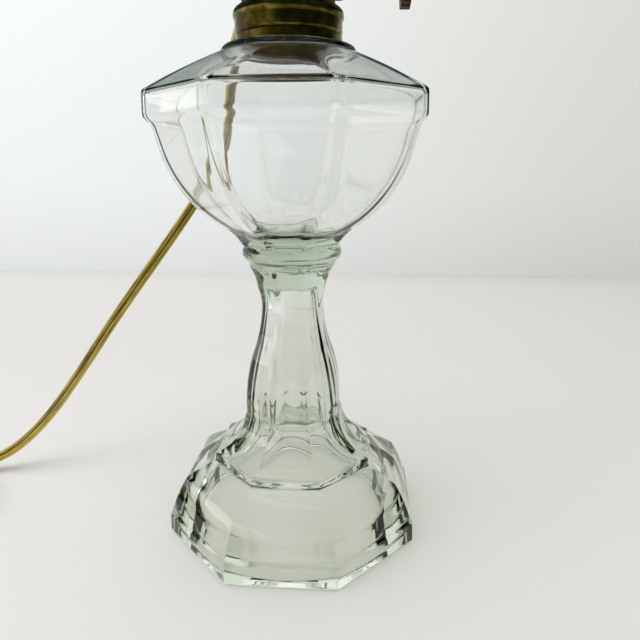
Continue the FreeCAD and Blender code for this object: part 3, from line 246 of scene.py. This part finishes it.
def arc_points(start, middle, end):
    """Points on the arc through three points, without its start."""
    (ax, ay), (bx, by), (cx, cy) = start, middle, end
    steps = range(1, ARC_STEPS + 1)
    spread = 2 * (ax * (by - cy) + bx * (cy - ay) + cx * (ay - by))
    if abs(spread) < STRAIGHT:
        return [(ax + (cx - ax) * step / ARC_STEPS, ay + (cy - ay) * step / ARC_STEPS) for step in steps]
    a_square, b_square, c_square = ax * ax + ay * ay, bx * bx + by * by, cx * cx + cy * cy
    centre_x = (a_square * (by - cy) + b_square * (cy - ay) + c_square * (ay - by)) / spread
    centre_y = (a_square * (cx - bx) + b_square * (ax - cx) + c_square * (bx - ax)) / spread
    first, mid, last = (math.atan2(y - centre_y, x - centre_x) for x, y in (start, middle, end))
    sweep = (last - first) % (2 * math.pi)
    if (mid - first) % (2 * math.pi) > sweep:
        sweep -= 2 * math.pi
    radius = math.hypot(ax - centre_x, ay - centre_y)
    angles = [first + sweep * step / ARC_STEPS for step in steps]
    return [(centre_x + radius * math.cos(angle), centre_y + radius * math.sin(angle)) for angle in angles]


def sampled(outline, spacing):
    """Evenly spaced stations of an outline whose entries are (half, height, roundness, bow)."""
    path = [outline[0][:3]]
    for entry in outline[1:]:
        before = path[-1]
        if len(entry) == 4:
            across, up = entry[3]
            middle = (before[0] + (entry[0] - before[0]) * across, before[1] + (entry[1] - before[1]) * up)
            spots = arc_points(before[:2], middle, entry[:2])
        else:
            spots = [entry[:2]]
        for index, spot in enumerate(spots, start=1):
            roundness = before[2] + (entry[2] - before[2]) * index / len(spots)
            path.append((spot[0], spot[1], roundness))
    lengths = [math.dist(a[:2], b[:2]) for a, b in zip(path, path[1:])]
    total = sum(lengths)
    count = max(int(total / spacing), 2)
    stations, gone, leg = [], 0.0, 0
    for index in range(count + 1):
        target = total * index / count
        while leg < len(lengths) - 1 and gone + lengths[leg] < target:
            gone += lengths[leg]
            leg += 1
        share = (target - gone) / lengths[leg] if lengths[leg] else 0
        a, b = path[leg], path[leg + 1]
        stations.append([a[i] + (b[i] - a[i]) * share for i in range(3)])
    return stations


def softened(stations, passes):
    """Stations with their corners rounded by repeated averaging; the ends stay."""
    for _ in range(passes):
        smooth = [stations[0]]
        for a, b, c in zip(stations, stations[1:], stations[2:]):
            smooth.append([(a[i] + 2 * b[i] + c[i]) / 4 for i in range(3)])
        stations = smooth + [stations[-1]]
    return stations


def eight_sided_ring(half, roundness):
    """Angle and radius round a regular octagon with rounded corners, flats square to the axes."""
    roundness = min(max(roundness, LEAST_ROUNDNESS), half)
    flat_reach = (half - roundness) * math.tan(EIGHTH / 2)
    flat_angle = max(math.atan2(flat_reach, half), EIGHTH / 2 * LEAST_FLAT_SHARE)
    middle = (half - roundness) / math.cos(EIGHTH / 2)
    ring = []
    for side in range(SIDES):
        for step in range(FLAT_STEPS + CORNER_STEPS):
            if step < FLAT_STEPS:
                angle = -flat_angle + 2 * flat_angle * step / FLAT_STEPS
            else:
                angle = flat_angle + (EIGHTH - 2 * flat_angle) * (step - FLAT_STEPS) / CORNER_STEPS
            off_flat = abs(angle) if angle <= EIGHTH / 2 else EIGHTH - angle
            if half * math.tan(off_flat) <= flat_reach:
                radius = half / math.cos(off_flat)
            else:
                off_corner = EIGHTH / 2 - off_flat
                rise = math.sqrt(max(roundness ** 2 - (middle * math.sin(off_corner)) ** 2, 0))
                radius = middle * math.cos(off_corner) + rise
            ring.append((angle + side * EIGHTH, radius))
    return ring


def lathed(name, stations, ripple):
    """A closed, rippled surface through rounded eight-sided rings, between two poles on the axis."""
    vertices = [Vector((0, 0, stations[0][1]))]
    count = SIDES * (FLAT_STEPS + CORNER_STEPS)
    inside = stations[1:-1]
    for half, height, roundness in inside:
        for angle, radius in eight_sided_ring(half, roundness):
            spot = Vector((radius * math.cos(angle), radius * math.sin(angle), height))
            vertices.append(ripple(spot, radius))
    vertices.append(Vector((0, 0, stations[-1][1])))
    faces = []
    for step in range(count):
        after = (step + 1) % count
        faces.append((0, 1 + after, 1 + step))
        for ring in range(len(inside) - 1):
            base = 1 + ring * count
            faces.append((base + step, base + after, base + count + after, base + count + step))
        base = 1 + (len(inside) - 1) * count
        faces.append((base + step, base + after, len(vertices) - 1))
    return mesh_piece(name, [vertex * MM for vertex in vertices], faces)


# Glass: pedestal, wafer and font are one fused body of glass

SHARP, ROUNDED, SOFT = 0.7, 2.2, 4.5
HOLLOW = [
    (0.0, 105.8, 0.0),
    (7.0, 105.8, 7.0),
    (8.1, 97.5, 8.1),
    (11.2, 76.0, 11.2, (0.42, 0.5)),
    (14.4, 48.5, 14.4, (0.6, 0.45)),
    (28.0, 27.0, 28.0, (0.32, 0.62)),
    (43.4, 14.0, 43.4, (0.62, 0.32)),
    (44.2, 0.0, 44.2),
]
OUTSIDE = [
    (51.75, 0.0, SHARP),
    (51.35, 8.8, SHARP),
    (50.6, 9.6, SHARP),
    (44.19, 24.42, SHARP, (0.36, 0.454)),
    (32.5, 30.3, SHARP, (0.39, 0.48)),
    (32.5, 33.8, SHARP),
    (20.2, 49.4, SHARP, (0.64, 0.31)),
    (19.6, 49.9, SOFT),
    (16.61, 75.97, SOFT, (0.1, 0.464)),
    (12.35, 97.5, SOFT, (0.7, 0.474)),
    (16.5, 113.8, SOFT, (0.23, 0.4)),
    (17.4, 113.9, 17.4),
    (17.4, 115.4, 17.4),
    (19.8, 118.7, 19.8, (0.8, 0.4)),
    (18.9, 121.6, 18.9, (0.2, 0.6)),
    (18.5, 121.6, ROUNDED),
    (25.5, 129.3, SOFT, (0.414, 0.571)),
    (44.91, 156.21, SOFT, (0.583, 0.387)),
    (47.3, 165.8, SOFT),
    (49.5, 168.3, ROUNDED),
    (49.2, 177.0, ROUNDED),
    (25.9, 190.2, 24.0, (0.48, 0.523)),
    (24.9, 190.3, 24.9),
    (24.9, 191.0, 24.9),
    (22.2, 192.9, 22.2, (0.25, 0.74)),
    (17.4, 192.9, 17.4),
    (17.4, 197.6, 17.4),
    (13.6, 197.6, 13.6),
]
CAVITY = [
    (13.6, 191.4, 13.6),
    (17.0, 190.8, 16.0),
    (25.2, 189.1, 24.0),
    (48.1, 176.1, 7.0, (0.52, 0.477)),
    (48.3, 168.7, 7.0),
    (46.2, 166.0, 9.0),
    (43.8, 156.5, 9.0),
    (18.0, 127.0, 18.0, (0.311, 0.535)),
    (0.0, 127.0, 0.0),
]
STATION_SPACING = 0.55
SOFTENING = 3
STILL_RADIUS = 1.0
RIPPLE_DEPTH, RIPPLE_LENGTH = 0.05, 14.0
FINE_RIPPLE_SHARE, FINE_RIPPLE_RATIO = 0.5, 2.7
KNOT_LEVEL, KNOT_REACH, KNOT_SWELL, KNOT_LENGTH = 110.0, 7.0, 12.0, 5.5


def glass_ripple(spot, radius):
    """Moves a point of moulded glass in or out by a little, and by more in the solid top of the stem."""
    if radius < STILL_RADIUS:
        return spot
    near = math.exp(-((spot.z - KNOT_LEVEL) / KNOT_REACH) ** 2)
    wide = spot / RIPPLE_LENGTH
    swell = noise.noise(wide) + FINE_RIPPLE_SHARE * noise.noise(wide * FINE_RIPPLE_RATIO)
    swell += near * KNOT_SWELL * noise.noise(spot / KNOT_LENGTH)
    scale = 1 + RIPPLE_DEPTH * swell / radius
    return Vector((spot.x * scale, spot.y * scale, spot.z))


glass_stations = softened(sampled(HOLLOW + OUTSIDE + CAVITY, STATION_SPACING), SOFTENING)
glass_body = lathed("lamp_glass", glass_stations, glass_ripple)
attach(glass_body, "root")
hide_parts("pedestal_glass", "glass_wafer", "font_glass")
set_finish(glass_body, "pressed_glass")

# Bulb cap: a thin shell with a rolled thread below and a plain band above

CAP_BASE, CAP_FOOT, CAP_TOP = 261.3, 262.8, 283.8
CAP_HOLE, CAP_EDGE, CAP_RADIUS, CAP_SHEET = 9.5, 11.0, 13.1, 0.5
THREAD_LOW, THREAD_HIGH, THREAD_FADE = 263.2, 275.7, 1.0
THREAD_PITCH, THREAD_DEPTH = 3.63, 0.75
CAP_RINGS, CAP_STEPS = 60, 72


def screw_cap(name):
    """The bulb's screw cap, with a right-hand round thread."""
    heights = [CAP_FOOT + (CAP_TOP - CAP_FOOT) * index / CAP_RINGS for index in range(CAP_RINGS + 1)]
    rings = [(CAP_HOLE, CAP_BASE), (CAP_EDGE, CAP_BASE)]
    rings += [(CAP_RADIUS, height) for height in heights]
    rings += [(CAP_RADIUS - CAP_SHEET, height) for height in reversed(heights)]
    rings.append((CAP_HOLE, CAP_BASE + CAP_SHEET))
    vertices, faces = [], []
    for ring, (reach, height) in enumerate(rings):
        inside = min(height - THREAD_LOW, THREAD_HIGH - height) / THREAD_FADE
        depth = THREAD_DEPTH * min(max(inside, 0), 1)
        base, above = ring * CAP_STEPS, (ring + 1) % len(rings) * CAP_STEPS
        for step in range(CAP_STEPS):
            angle = 2 * math.pi * step / CAP_STEPS
            wave = math.cos(2 * math.pi * height / THREAD_PITCH - angle)
            radius = reach - depth * (1 - wave) / 2
            vertices.append(Vector((radius * math.cos(angle), radius * math.sin(angle), height)) * MM)
            after = (step + 1) % CAP_STEPS
            faces.append((base + step, base + after, above + after, above + step))
    return mesh_piece(name, vertices, faces)


bulb_cap = screw_cap("bulb_screw_cap")
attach(bulb_cap, "bulb")
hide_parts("bulb_cap")
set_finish(bulb_cap, "lamp_cap")

# Shading nodes: functions that add to a node tree and give back a socket

MATERIALS = {}


def material(name):
    """A new material, kept under its name, with its node tree and shader."""
    made = bpy.data.materials.new(name)
    made.use_nodes = True
    MATERIALS[name] = made
    return made.node_tree, made.node_tree.nodes["Principled BSDF"]


def noise_of(tree, scale, detail, roughness=0.5, coordinates=None):
    """A noise texture, in object space unless told otherwise."""
    if coordinates is None:
        coordinates = tree.nodes.new("ShaderNodeTexCoord").outputs["Object"]
    texture = tree.nodes.new("ShaderNodeTexNoise")
    texture.inputs["Scale"].default_value = scale
    texture.inputs["Detail"].default_value = detail
    texture.inputs["Roughness"].default_value = roughness
    tree.links.new(coordinates, texture.inputs["Vector"])
    return texture.outputs["Fac"]


def ramp(tree, factor, stops):
    """A colour ramp of (place, colour) stops."""
    node = tree.nodes.new("ShaderNodeValToRGB")
    band = node.color_ramp
    while len(band.elements) < len(stops):
        band.elements.new(0.5)
    for element, (place, colour) in zip(band.elements, stops):
        element.position = place
        element.color = (*colour, 1)
    tree.links.new(factor, node.inputs["Fac"])
    return node.outputs["Color"]


def mapped(tree, value, source=(0, 1), target=(0, 1), smooth=False):
    """A value carried from one range to another, straight or smooth at both ends."""
    node = tree.nodes.new("ShaderNodeMapRange")
    if smooth:
        node.interpolation_type = "SMOOTHSTEP"
    for prefix, ends in (("From", source), ("To", target)):
        node.inputs[prefix + " Min"].default_value = ends[0]
        node.inputs[prefix + " Max"].default_value = ends[1]
    tree.links.new(value, node.inputs["Value"])
    return node.outputs["Result"]


def blended(tree, share, first, second):
    """One colour or socket mixed into another by a share."""
    node = tree.nodes.new("ShaderNodeMix")
    node.data_type = "RGBA"
    tree.links.new(share, node.inputs["Factor"])
    for socket, value in (("A", first), ("B", second)):
        if isinstance(value, tuple):
            node.inputs[socket].default_value = (*value, 1)
        else:
            tree.links.new(value, node.inputs[socket])
    return node.outputs["Result"]


def worked_out(tree, operation, *values):
    """The result of a calculation with one or more sockets."""
    node = tree.nodes.new("ShaderNodeMath")
    node.operation = operation
    for socket, value in zip(node.inputs, values):
        tree.links.new(value, socket)
    return node.outputs["Value"]


def parts_of(tree, vector):
    """The X, Y and Z sockets of a vector."""
    node = tree.nodes.new("ShaderNodeSeparateXYZ")
    tree.links.new(vector, node.inputs["Vector"])
    return node.outputs


# Materials

WHITE = (1, 1, 1)
GLASS_IOR = 1.52
SHADOW_CLARITY = (0.99, 0.99, 0.98)
DIMMED_LEVELS = (0.124, 0.132)
DIMMED_NOISE = {"scale": 60, "detail": 5, "roughness": 0.55}
DIMMED_STOPS = [(0.3, (0.955, 0.958, 0.957)), (0.7, (0.978, 0.98, 0.98))]
THIN_EDGE, THIN_CLARITY = 0.5, 0.92


def glass(name, tint, density, dimmed=False, thin=False):
    """Glass whose thickness tints what is seen through it, and which lets light through to what it shades.

    It may be dimmed a little, in patches, above a level. Thin glass is seen straight through where it faces
    the eye.
    """
    tree, shader = material(name)
    output = tree.nodes["Material Output"]
    shader.inputs["Base Color"].default_value = (*WHITE, 1)
    shader.inputs["Transmission Weight"].default_value = 1
    shader.inputs["IOR"].default_value = GLASS_IOR
    shader.inputs["Roughness"].default_value = 0
    # Above a level the glass is dimmed a little, in patches
    if dimmed:
        place = tree.nodes.new("ShaderNodeTexCoord").outputs["Object"]
        share = mapped(tree, parts_of(tree, place)["Z"], DIMMED_LEVELS)
        patches = ramp(tree, noise_of(tree, coordinates=place, **DIMMED_NOISE), DIMMED_STOPS)
        tree.links.new(blended(tree, share, WHITE, patches), shader.inputs["Base Color"])
    see_through = tree.nodes.new("ShaderNodeLightPath").outputs["Is Shadow Ray"]
    if thin:
        facing = tree.nodes.new("ShaderNodeLayerWeight").outputs["Facing"]
        clearness = mapped(tree, facing, (THIN_EDGE, 1), (THIN_CLARITY, 0))
        see_through = worked_out(tree, "MAXIMUM", see_through, clearness)
    clear = tree.nodes.new("ShaderNodeBsdfTransparent")
    clear.inputs["Color"].default_value = (*SHADOW_CLARITY, 1)
    blend = tree.nodes.new("ShaderNodeMixShader")
    tree.links.new(see_through, blend.inputs["Fac"])
    tree.links.new(shader.outputs["BSDF"], blend.inputs[1])
    tree.links.new(clear.outputs["BSDF"], blend.inputs[2])
    tree.links.new(blend.outputs["Shader"], output.inputs["Surface"])
    soak = tree.nodes.new("ShaderNodeVolumeAbsorption")
    soak.inputs["Color"].default_value = (*tint, 1)
    soak.inputs["Density"].default_value = density
    tree.links.new(soak.outputs["Volume"], output.inputs["Volume"])


METAL_NOISES = ((1, 8, 0.62), (2.3, 6, 0.5), (3.1, 5, 0.5))
METAL_BUMP = 0.4
PLASTIC_NOISES = ((1, 5, 0.5), (2, 4, 0.5), (4, 3, 0.5))
PLASTIC_BUMP, PLASTIC_BUMP_DEPTH = 0.25, 0.00004


def uneven(name, stops, rough, scale, noises, bump_strength, bump_depth):
    """A material with mottled colour, uneven polish and a slightly uneven surface, and its shader.

    Those three have a noise each, of a share of the scale, a detail and a roughness.
    """
    tree, shader = material(name)
    mottle, polish, dents = [
        noise_of(tree, scale * share, detail, roughness) for share, detail, roughness in noises
    ]
    tree.links.new(ramp(tree, mottle, stops), shader.inputs["Base Color"])
    tree.links.new(mapped(tree, polish, target=rough), shader.inputs["Roughness"])
    bump = tree.nodes.new("ShaderNodeBump")
    bump.inputs["Strength"].default_value = bump_strength
    bump.inputs["Distance"].default_value = bump_depth
    tree.links.new(dents, bump.inputs["Height"])
    tree.links.new(bump.outputs["Normal"], shader.inputs["Normal"])
    return shader


def metal(name, stops, rough, scale=180, bump_depth=0.00003):
    """Bare or patinated metal."""
    shader = uneven(name, stops, rough, scale, METAL_NOISES, METAL_BUMP, bump_depth)
    shader.inputs["Metallic"].default_value = 1


def plastic(name, stops, rough, scale=220, coat=0.0):
    """Moulded plastic, plaster or ceramic."""
    shader = uneven(name, stops, rough, scale, PLASTIC_NOISES, PLASTIC_BUMP, PLASTIC_BUMP_DEPTH)
    shader.inputs["Coat Weight"].default_value = coat


STRAND_STRETCH = (1.5, 1.5, 0.06)
STRAND_STOPS = [(0.36, (0.12, 0.078, 0.005)), (0.5, (0.35, 0.245, 0.022)), (0.64, (0.6, 0.47, 0.085))]
SEAM_SHADE_COLOUR, SEAM_SHADE_REACH = (0.1, 0.062, 0.006), (0.15, 0.5)
CORD_EDGE_COLOUR, CORD_EDGE_REACH = (0.62, 0.49, 0.13), (1.7, 2.5)
CORD_POLISH_SCALE, CORD_POLISH, CORD_COAT = 300, (0.16, 0.32), 0.5


def stranded(name):
    """Amber insulation with dark copper strands inside and paler at its edges, with painted shade in the
    groove along its seam.
    """
    tree, shader = material(name)
    lay = tree.nodes.new("ShaderNodeAttribute")
    lay.attribute_name = "lay"
    stretch = tree.nodes.new("ShaderNodeVectorMath")
    stretch.operation = "MULTIPLY"
    stretch.inputs[1].default_value = STRAND_STRETCH
    tree.links.new(lay.outputs["Vector"], stretch.inputs[0])
    grain = noise_of(tree, scale=1, detail=3, roughness=0.6, coordinates=stretch.outputs["Vector"])
    away = worked_out(tree, "ABSOLUTE", parts_of(tree, lay.outputs["Vector"])["X"])
    colour = ramp(tree, grain, STRAND_STOPS)
    # Painted shade in the groove between the two cores
    colour = blended(tree, mapped(tree, away, SEAM_SHADE_REACH), SEAM_SHADE_COLOUR, colour)
    colour = blended(tree, mapped(tree, away, CORD_EDGE_REACH), colour, CORD_EDGE_COLOUR)
    tree.links.new(colour, shader.inputs["Base Color"])
    polish = mapped(tree, noise_of(tree, CORD_POLISH_SCALE, detail=3), target=CORD_POLISH)
    tree.links.new(polish, shader.inputs["Roughness"])
    shader.inputs["Coat Weight"].default_value = CORD_COAT


glass("pressed_glass", tint=(0.508, 0.602, 0.436), density=36.0, dimmed=True)
glass("clear_glass", tint=(0.9, 0.95, 0.93), density=4.0, thin=True)
metal("aged_brass", [
    (0.3, (0.02, 0.01, 0.002)), (0.5, (0.075, 0.052, 0.008)), (0.7, (0.24, 0.19, 0.034)),
], rough=(0.18, 0.3), bump_depth=0.000012)
metal("dark_bronze", [
    (0.3, (0.03, 0.022, 0.014)), (0.55, (0.09, 0.06, 0.03)), (0.78, (0.3, 0.2, 0.09)),
], rough=(0.3, 0.6))
metal("bright_brass", [
    (0.3, (0.42, 0.29, 0.1)), (0.55, (0.72, 0.53, 0.22)), (0.8, (0.85, 0.66, 0.32)),
], rough=(0.18, 0.4))
metal("plated_steel", [(0.3, (0.4, 0.39, 0.36)), (0.7, (0.68, 0.66, 0.62))], rough=(0.25, 0.45))
metal("tungsten", [(0.3, (0.15, 0.15, 0.16)), (0.7, (0.3, 0.3, 0.32))], rough=(0.35, 0.5))
metal("lamp_cap", [(0.3, (0.6, 0.6, 0.58)), (0.7, (0.82, 0.82, 0.8))], rough=(0.25, 0.4))
# The plaster is painted dark brown as painted shade, for where it sits in shade inside the collar round the
# neck
plastic("cement", [(0.3, (0.13, 0.11, 0.08)), (0.7, (0.26, 0.23, 0.18))], rough=(0.8, 0.95))
plastic("porcelain", [(0.3, (0.74, 0.72, 0.65)), (0.7, (0.86, 0.84, 0.78))], rough=(0.12, 0.25), coat=0.4)
plastic("fibre", [(0.3, (0.26, 0.19, 0.12)), (0.7, (0.45, 0.35, 0.23))], rough=(0.7, 0.9))
plastic("dark_plastic", [(0.3, (0.035, 0.025, 0.02)), (0.7, (0.075, 0.05, 0.035))], rough=(0.25, 0.42))
plastic("lead_insulation", [(0.3, (0.6, 0.47, 0.2)), (0.7, (0.72, 0.6, 0.32))], rough=(0.3, 0.5))
plastic("tie_wrap", [(0.3, (0.05, 0.05, 0.045)), (0.7, (0.1, 0.1, 0.09))], rough=(0.4, 0.6))
plastic("plug_plastic", [
    (0.3, (0.36, 0.26, 0.06)), (0.7, (0.43, 0.32, 0.09)),
], rough=(0.28, 0.42), scale=90, coat=0.3)
stranded("gold_cord")

slots = {row["node"]: row["material_slot"] for row in frame["record"]["subparts"]}
for name, piece in NODES.items():
    piece.data.materials.clear()
    piece.data.materials.append(MATERIALS[slots[name]])
for piece in (cord, glass_body, bulb_cap):
    piece.data.materials.append(MATERIALS[piece["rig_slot"]])

# Stage: a pale table and wall under soft lights, with painted light and shade in their colours

TABLE_HALF = 1.6
TABLE_DROP = 0.0003
WALL_DISTANCE = 0.527
WALL_HEIGHT = 0.36
STAGE_ROUGHNESS, STAGE_SPECULAR = 0.75, 0.05
# Painted light: the table is paler near the front and darker towards the wall, and the wall is paler and
# bluer on the left, where the window light falls, and darker on the right
TABLE_NEAR, TABLE_FAR, TABLE_LIGHT_FALLOFF = (0.63, 0.61, 0.585), (0.58, 0.56, 0.54), (-0.1, 0.2)
WALL_LEFT, WALL_RIGHT, WALL_LIGHT_FALLOFF = (0.89, 0.915, 0.915), (0.84, 0.845, 0.8), (-0.15, 0.3)
WALL_FOOT_SHADE, FOOT_SHADE_HEIGHT = 0.92, 0.12


def matt(name, colour, shaded_colour, axis, reach, foot_shade=1.0):
    """A matt stage colour with painted light: it drifts to a darker colour along an axis, and may darken
    towards the table as painted shade.
    """
    tree, shader = material(name)
    shader.inputs["Roughness"].default_value = STAGE_ROUGHNESS
    shader.inputs["Specular IOR Level"].default_value = STAGE_SPECULAR
    place = parts_of(tree, tree.nodes.new("ShaderNodeNewGeometry").outputs["Position"])
    # Painted light falloff along the axis, and painted shade low on the wall next to the table
    painted_falloff = ramp(tree, mapped(tree, place[axis], reach), [(0.0, colour), (1.0, shaded_colour)])
    rise = mapped(tree, place["Z"], (0, FOOT_SHADE_HEIGHT), (foot_shade, 1))
    shaded = tree.nodes.new("ShaderNodeVectorMath")
    shaded.operation = "SCALE"
    tree.links.new(painted_falloff, shaded.inputs[0])
    tree.links.new(rise, shaded.inputs["Scale"])
    tree.links.new(shaded.outputs["Vector"], shader.inputs["Base Color"])


def panel(name, corners, paint):
    """A flat four-cornered piece of the stage."""
    piece = mesh_piece(name, corners, [(0, 1, 2, 3)], smooth=False)
    piece.data.materials.append(MATERIALS[paint])
    return piece


matt("table_paint", TABLE_NEAR, TABLE_FAR, "Y", TABLE_LIGHT_FALLOFF)
matt("wall_paint", WALL_LEFT, WALL_RIGHT, "X", WALL_LIGHT_FALLOFF, WALL_FOOT_SHADE)
table = panel("table", [
    (-TABLE_HALF, -TABLE_HALF, -TABLE_DROP), (TABLE_HALF, -TABLE_HALF, -TABLE_DROP),
    (TABLE_HALF, WALL_DISTANCE, -TABLE_DROP), (-TABLE_HALF, WALL_DISTANCE, -TABLE_DROP),
], "table_paint")
wall = panel("wall", [
    (-TABLE_HALF, WALL_DISTANCE, -TABLE_DROP), (TABLE_HALF, WALL_DISTANCE, -TABLE_DROP),
    (TABLE_HALF, WALL_DISTANCE, WALL_HEIGHT), (-TABLE_HALF, WALL_DISTANCE, WALL_HEIGHT),
], "wall_paint")

LIGHTS = [
    {"name": "window_light", "place": (-1.1, -0.3, 1.0), "target": (-0.1, 0, 0.1), "size": (0.8, 0.9),
     "power": 6.5},
    {"name": "ceiling_light", "place": (-0.2, 0.0, 1.6), "target": (0, 0, 0.1), "size": (1.4, 1.4),
     "power": 19.5},
]


def soft_light(name, place, target, size, power):
    """A rectangular area light aimed at a point, which glass and metal don't mirror."""
    data = bpy.data.lights.new(name, "AREA")
    data.shape = "RECTANGLE"
    data.size, data.size_y = size
    data.energy = power
    lamp = link(name, data)
    lamp.location = place
    lamp.rotation_euler = (Vector(target) - Vector(place)).to_track_quat("-Z", "Y").to_euler()
    lamp.visible_glossy = False
    lamp.visible_transmission = False


for light in LIGHTS:
    soft_light(**light)

# Room: bright on the left, dark on the right and behind the camera, as glass and brass mirror it

ACROSS_STOPS = [
    (0.0, (1.4, 1.4, 1.36)), (0.25, (0.96, 0.96, 0.96)), (0.5, (0.8, 0.82, 0.82)),
    (0.7, (0.24, 0.27, 0.26)), (0.86, (0.032, 0.062, 0.046)),
]
DARK_SIDE, DARK_REACH, DARK_COLOUR = (0.5, -0.87, 0), (0.1, 0.75), (0.008, 0.022, 0.013)
OVERHEAD_REACH = (0.08, 0.27)
OVERHEAD_SHALLOW, OVERHEAD_DEEP, DEEP_RAYS = (0.05, 0.085, 0.077), (0.77, 0.775, 0.76), (3.5, 5.5)
OVERHEAD_ON_MATT = (0.34, 0.355, 0.36)
PLAIN_BACKGROUND = (0.5, 0.51, 0.51)
ROOM_STRENGTH = 1.58

world = bpy.data.worlds.new("room")
scene.world = world
world.use_nodes = True
world.cycles.sampling_method = "NONE"
tree = world.node_tree
background = tree.nodes["Background"]
direction = tree.nodes.new("ShaderNodeTexCoord").outputs["Generated"]
bearing = parts_of(tree, direction)
rays = tree.nodes.new("ShaderNodeLightPath").outputs
behind = tree.nodes.new("ShaderNodeVectorMath")
behind.operation = "DOT_PRODUCT"
behind.inputs[1].default_value = DARK_SIDE
tree.links.new(direction, behind.inputs[0])

across = ramp(tree, mapped(tree, bearing["X"], (-1, 1), smooth=True), ACROSS_STOPS)
darkness = mapped(tree, behind.outputs["Value"], DARK_REACH, smooth=True)
depth = mapped(tree, rays["Ray Depth"], DEEP_RAYS, smooth=True)
height = mapped(tree, bearing["Z"], OVERHEAD_REACH, smooth=True)
around = blended(tree, darkness, across, DARK_COLOUR)
overhead = blended(tree, depth, OVERHEAD_SHALLOW, OVERHEAD_DEEP)
overhead = blended(tree, rays["Is Diffuse Ray"], overhead, OVERHEAD_ON_MATT)
room = blended(tree, height, around, overhead)
room = blended(tree, rays["Is Camera Ray"], room, PLAIN_BACKGROUND)
tree.links.new(room, background.inputs["Color"])
background.inputs["Strength"].default_value = ROOM_STRENGTH
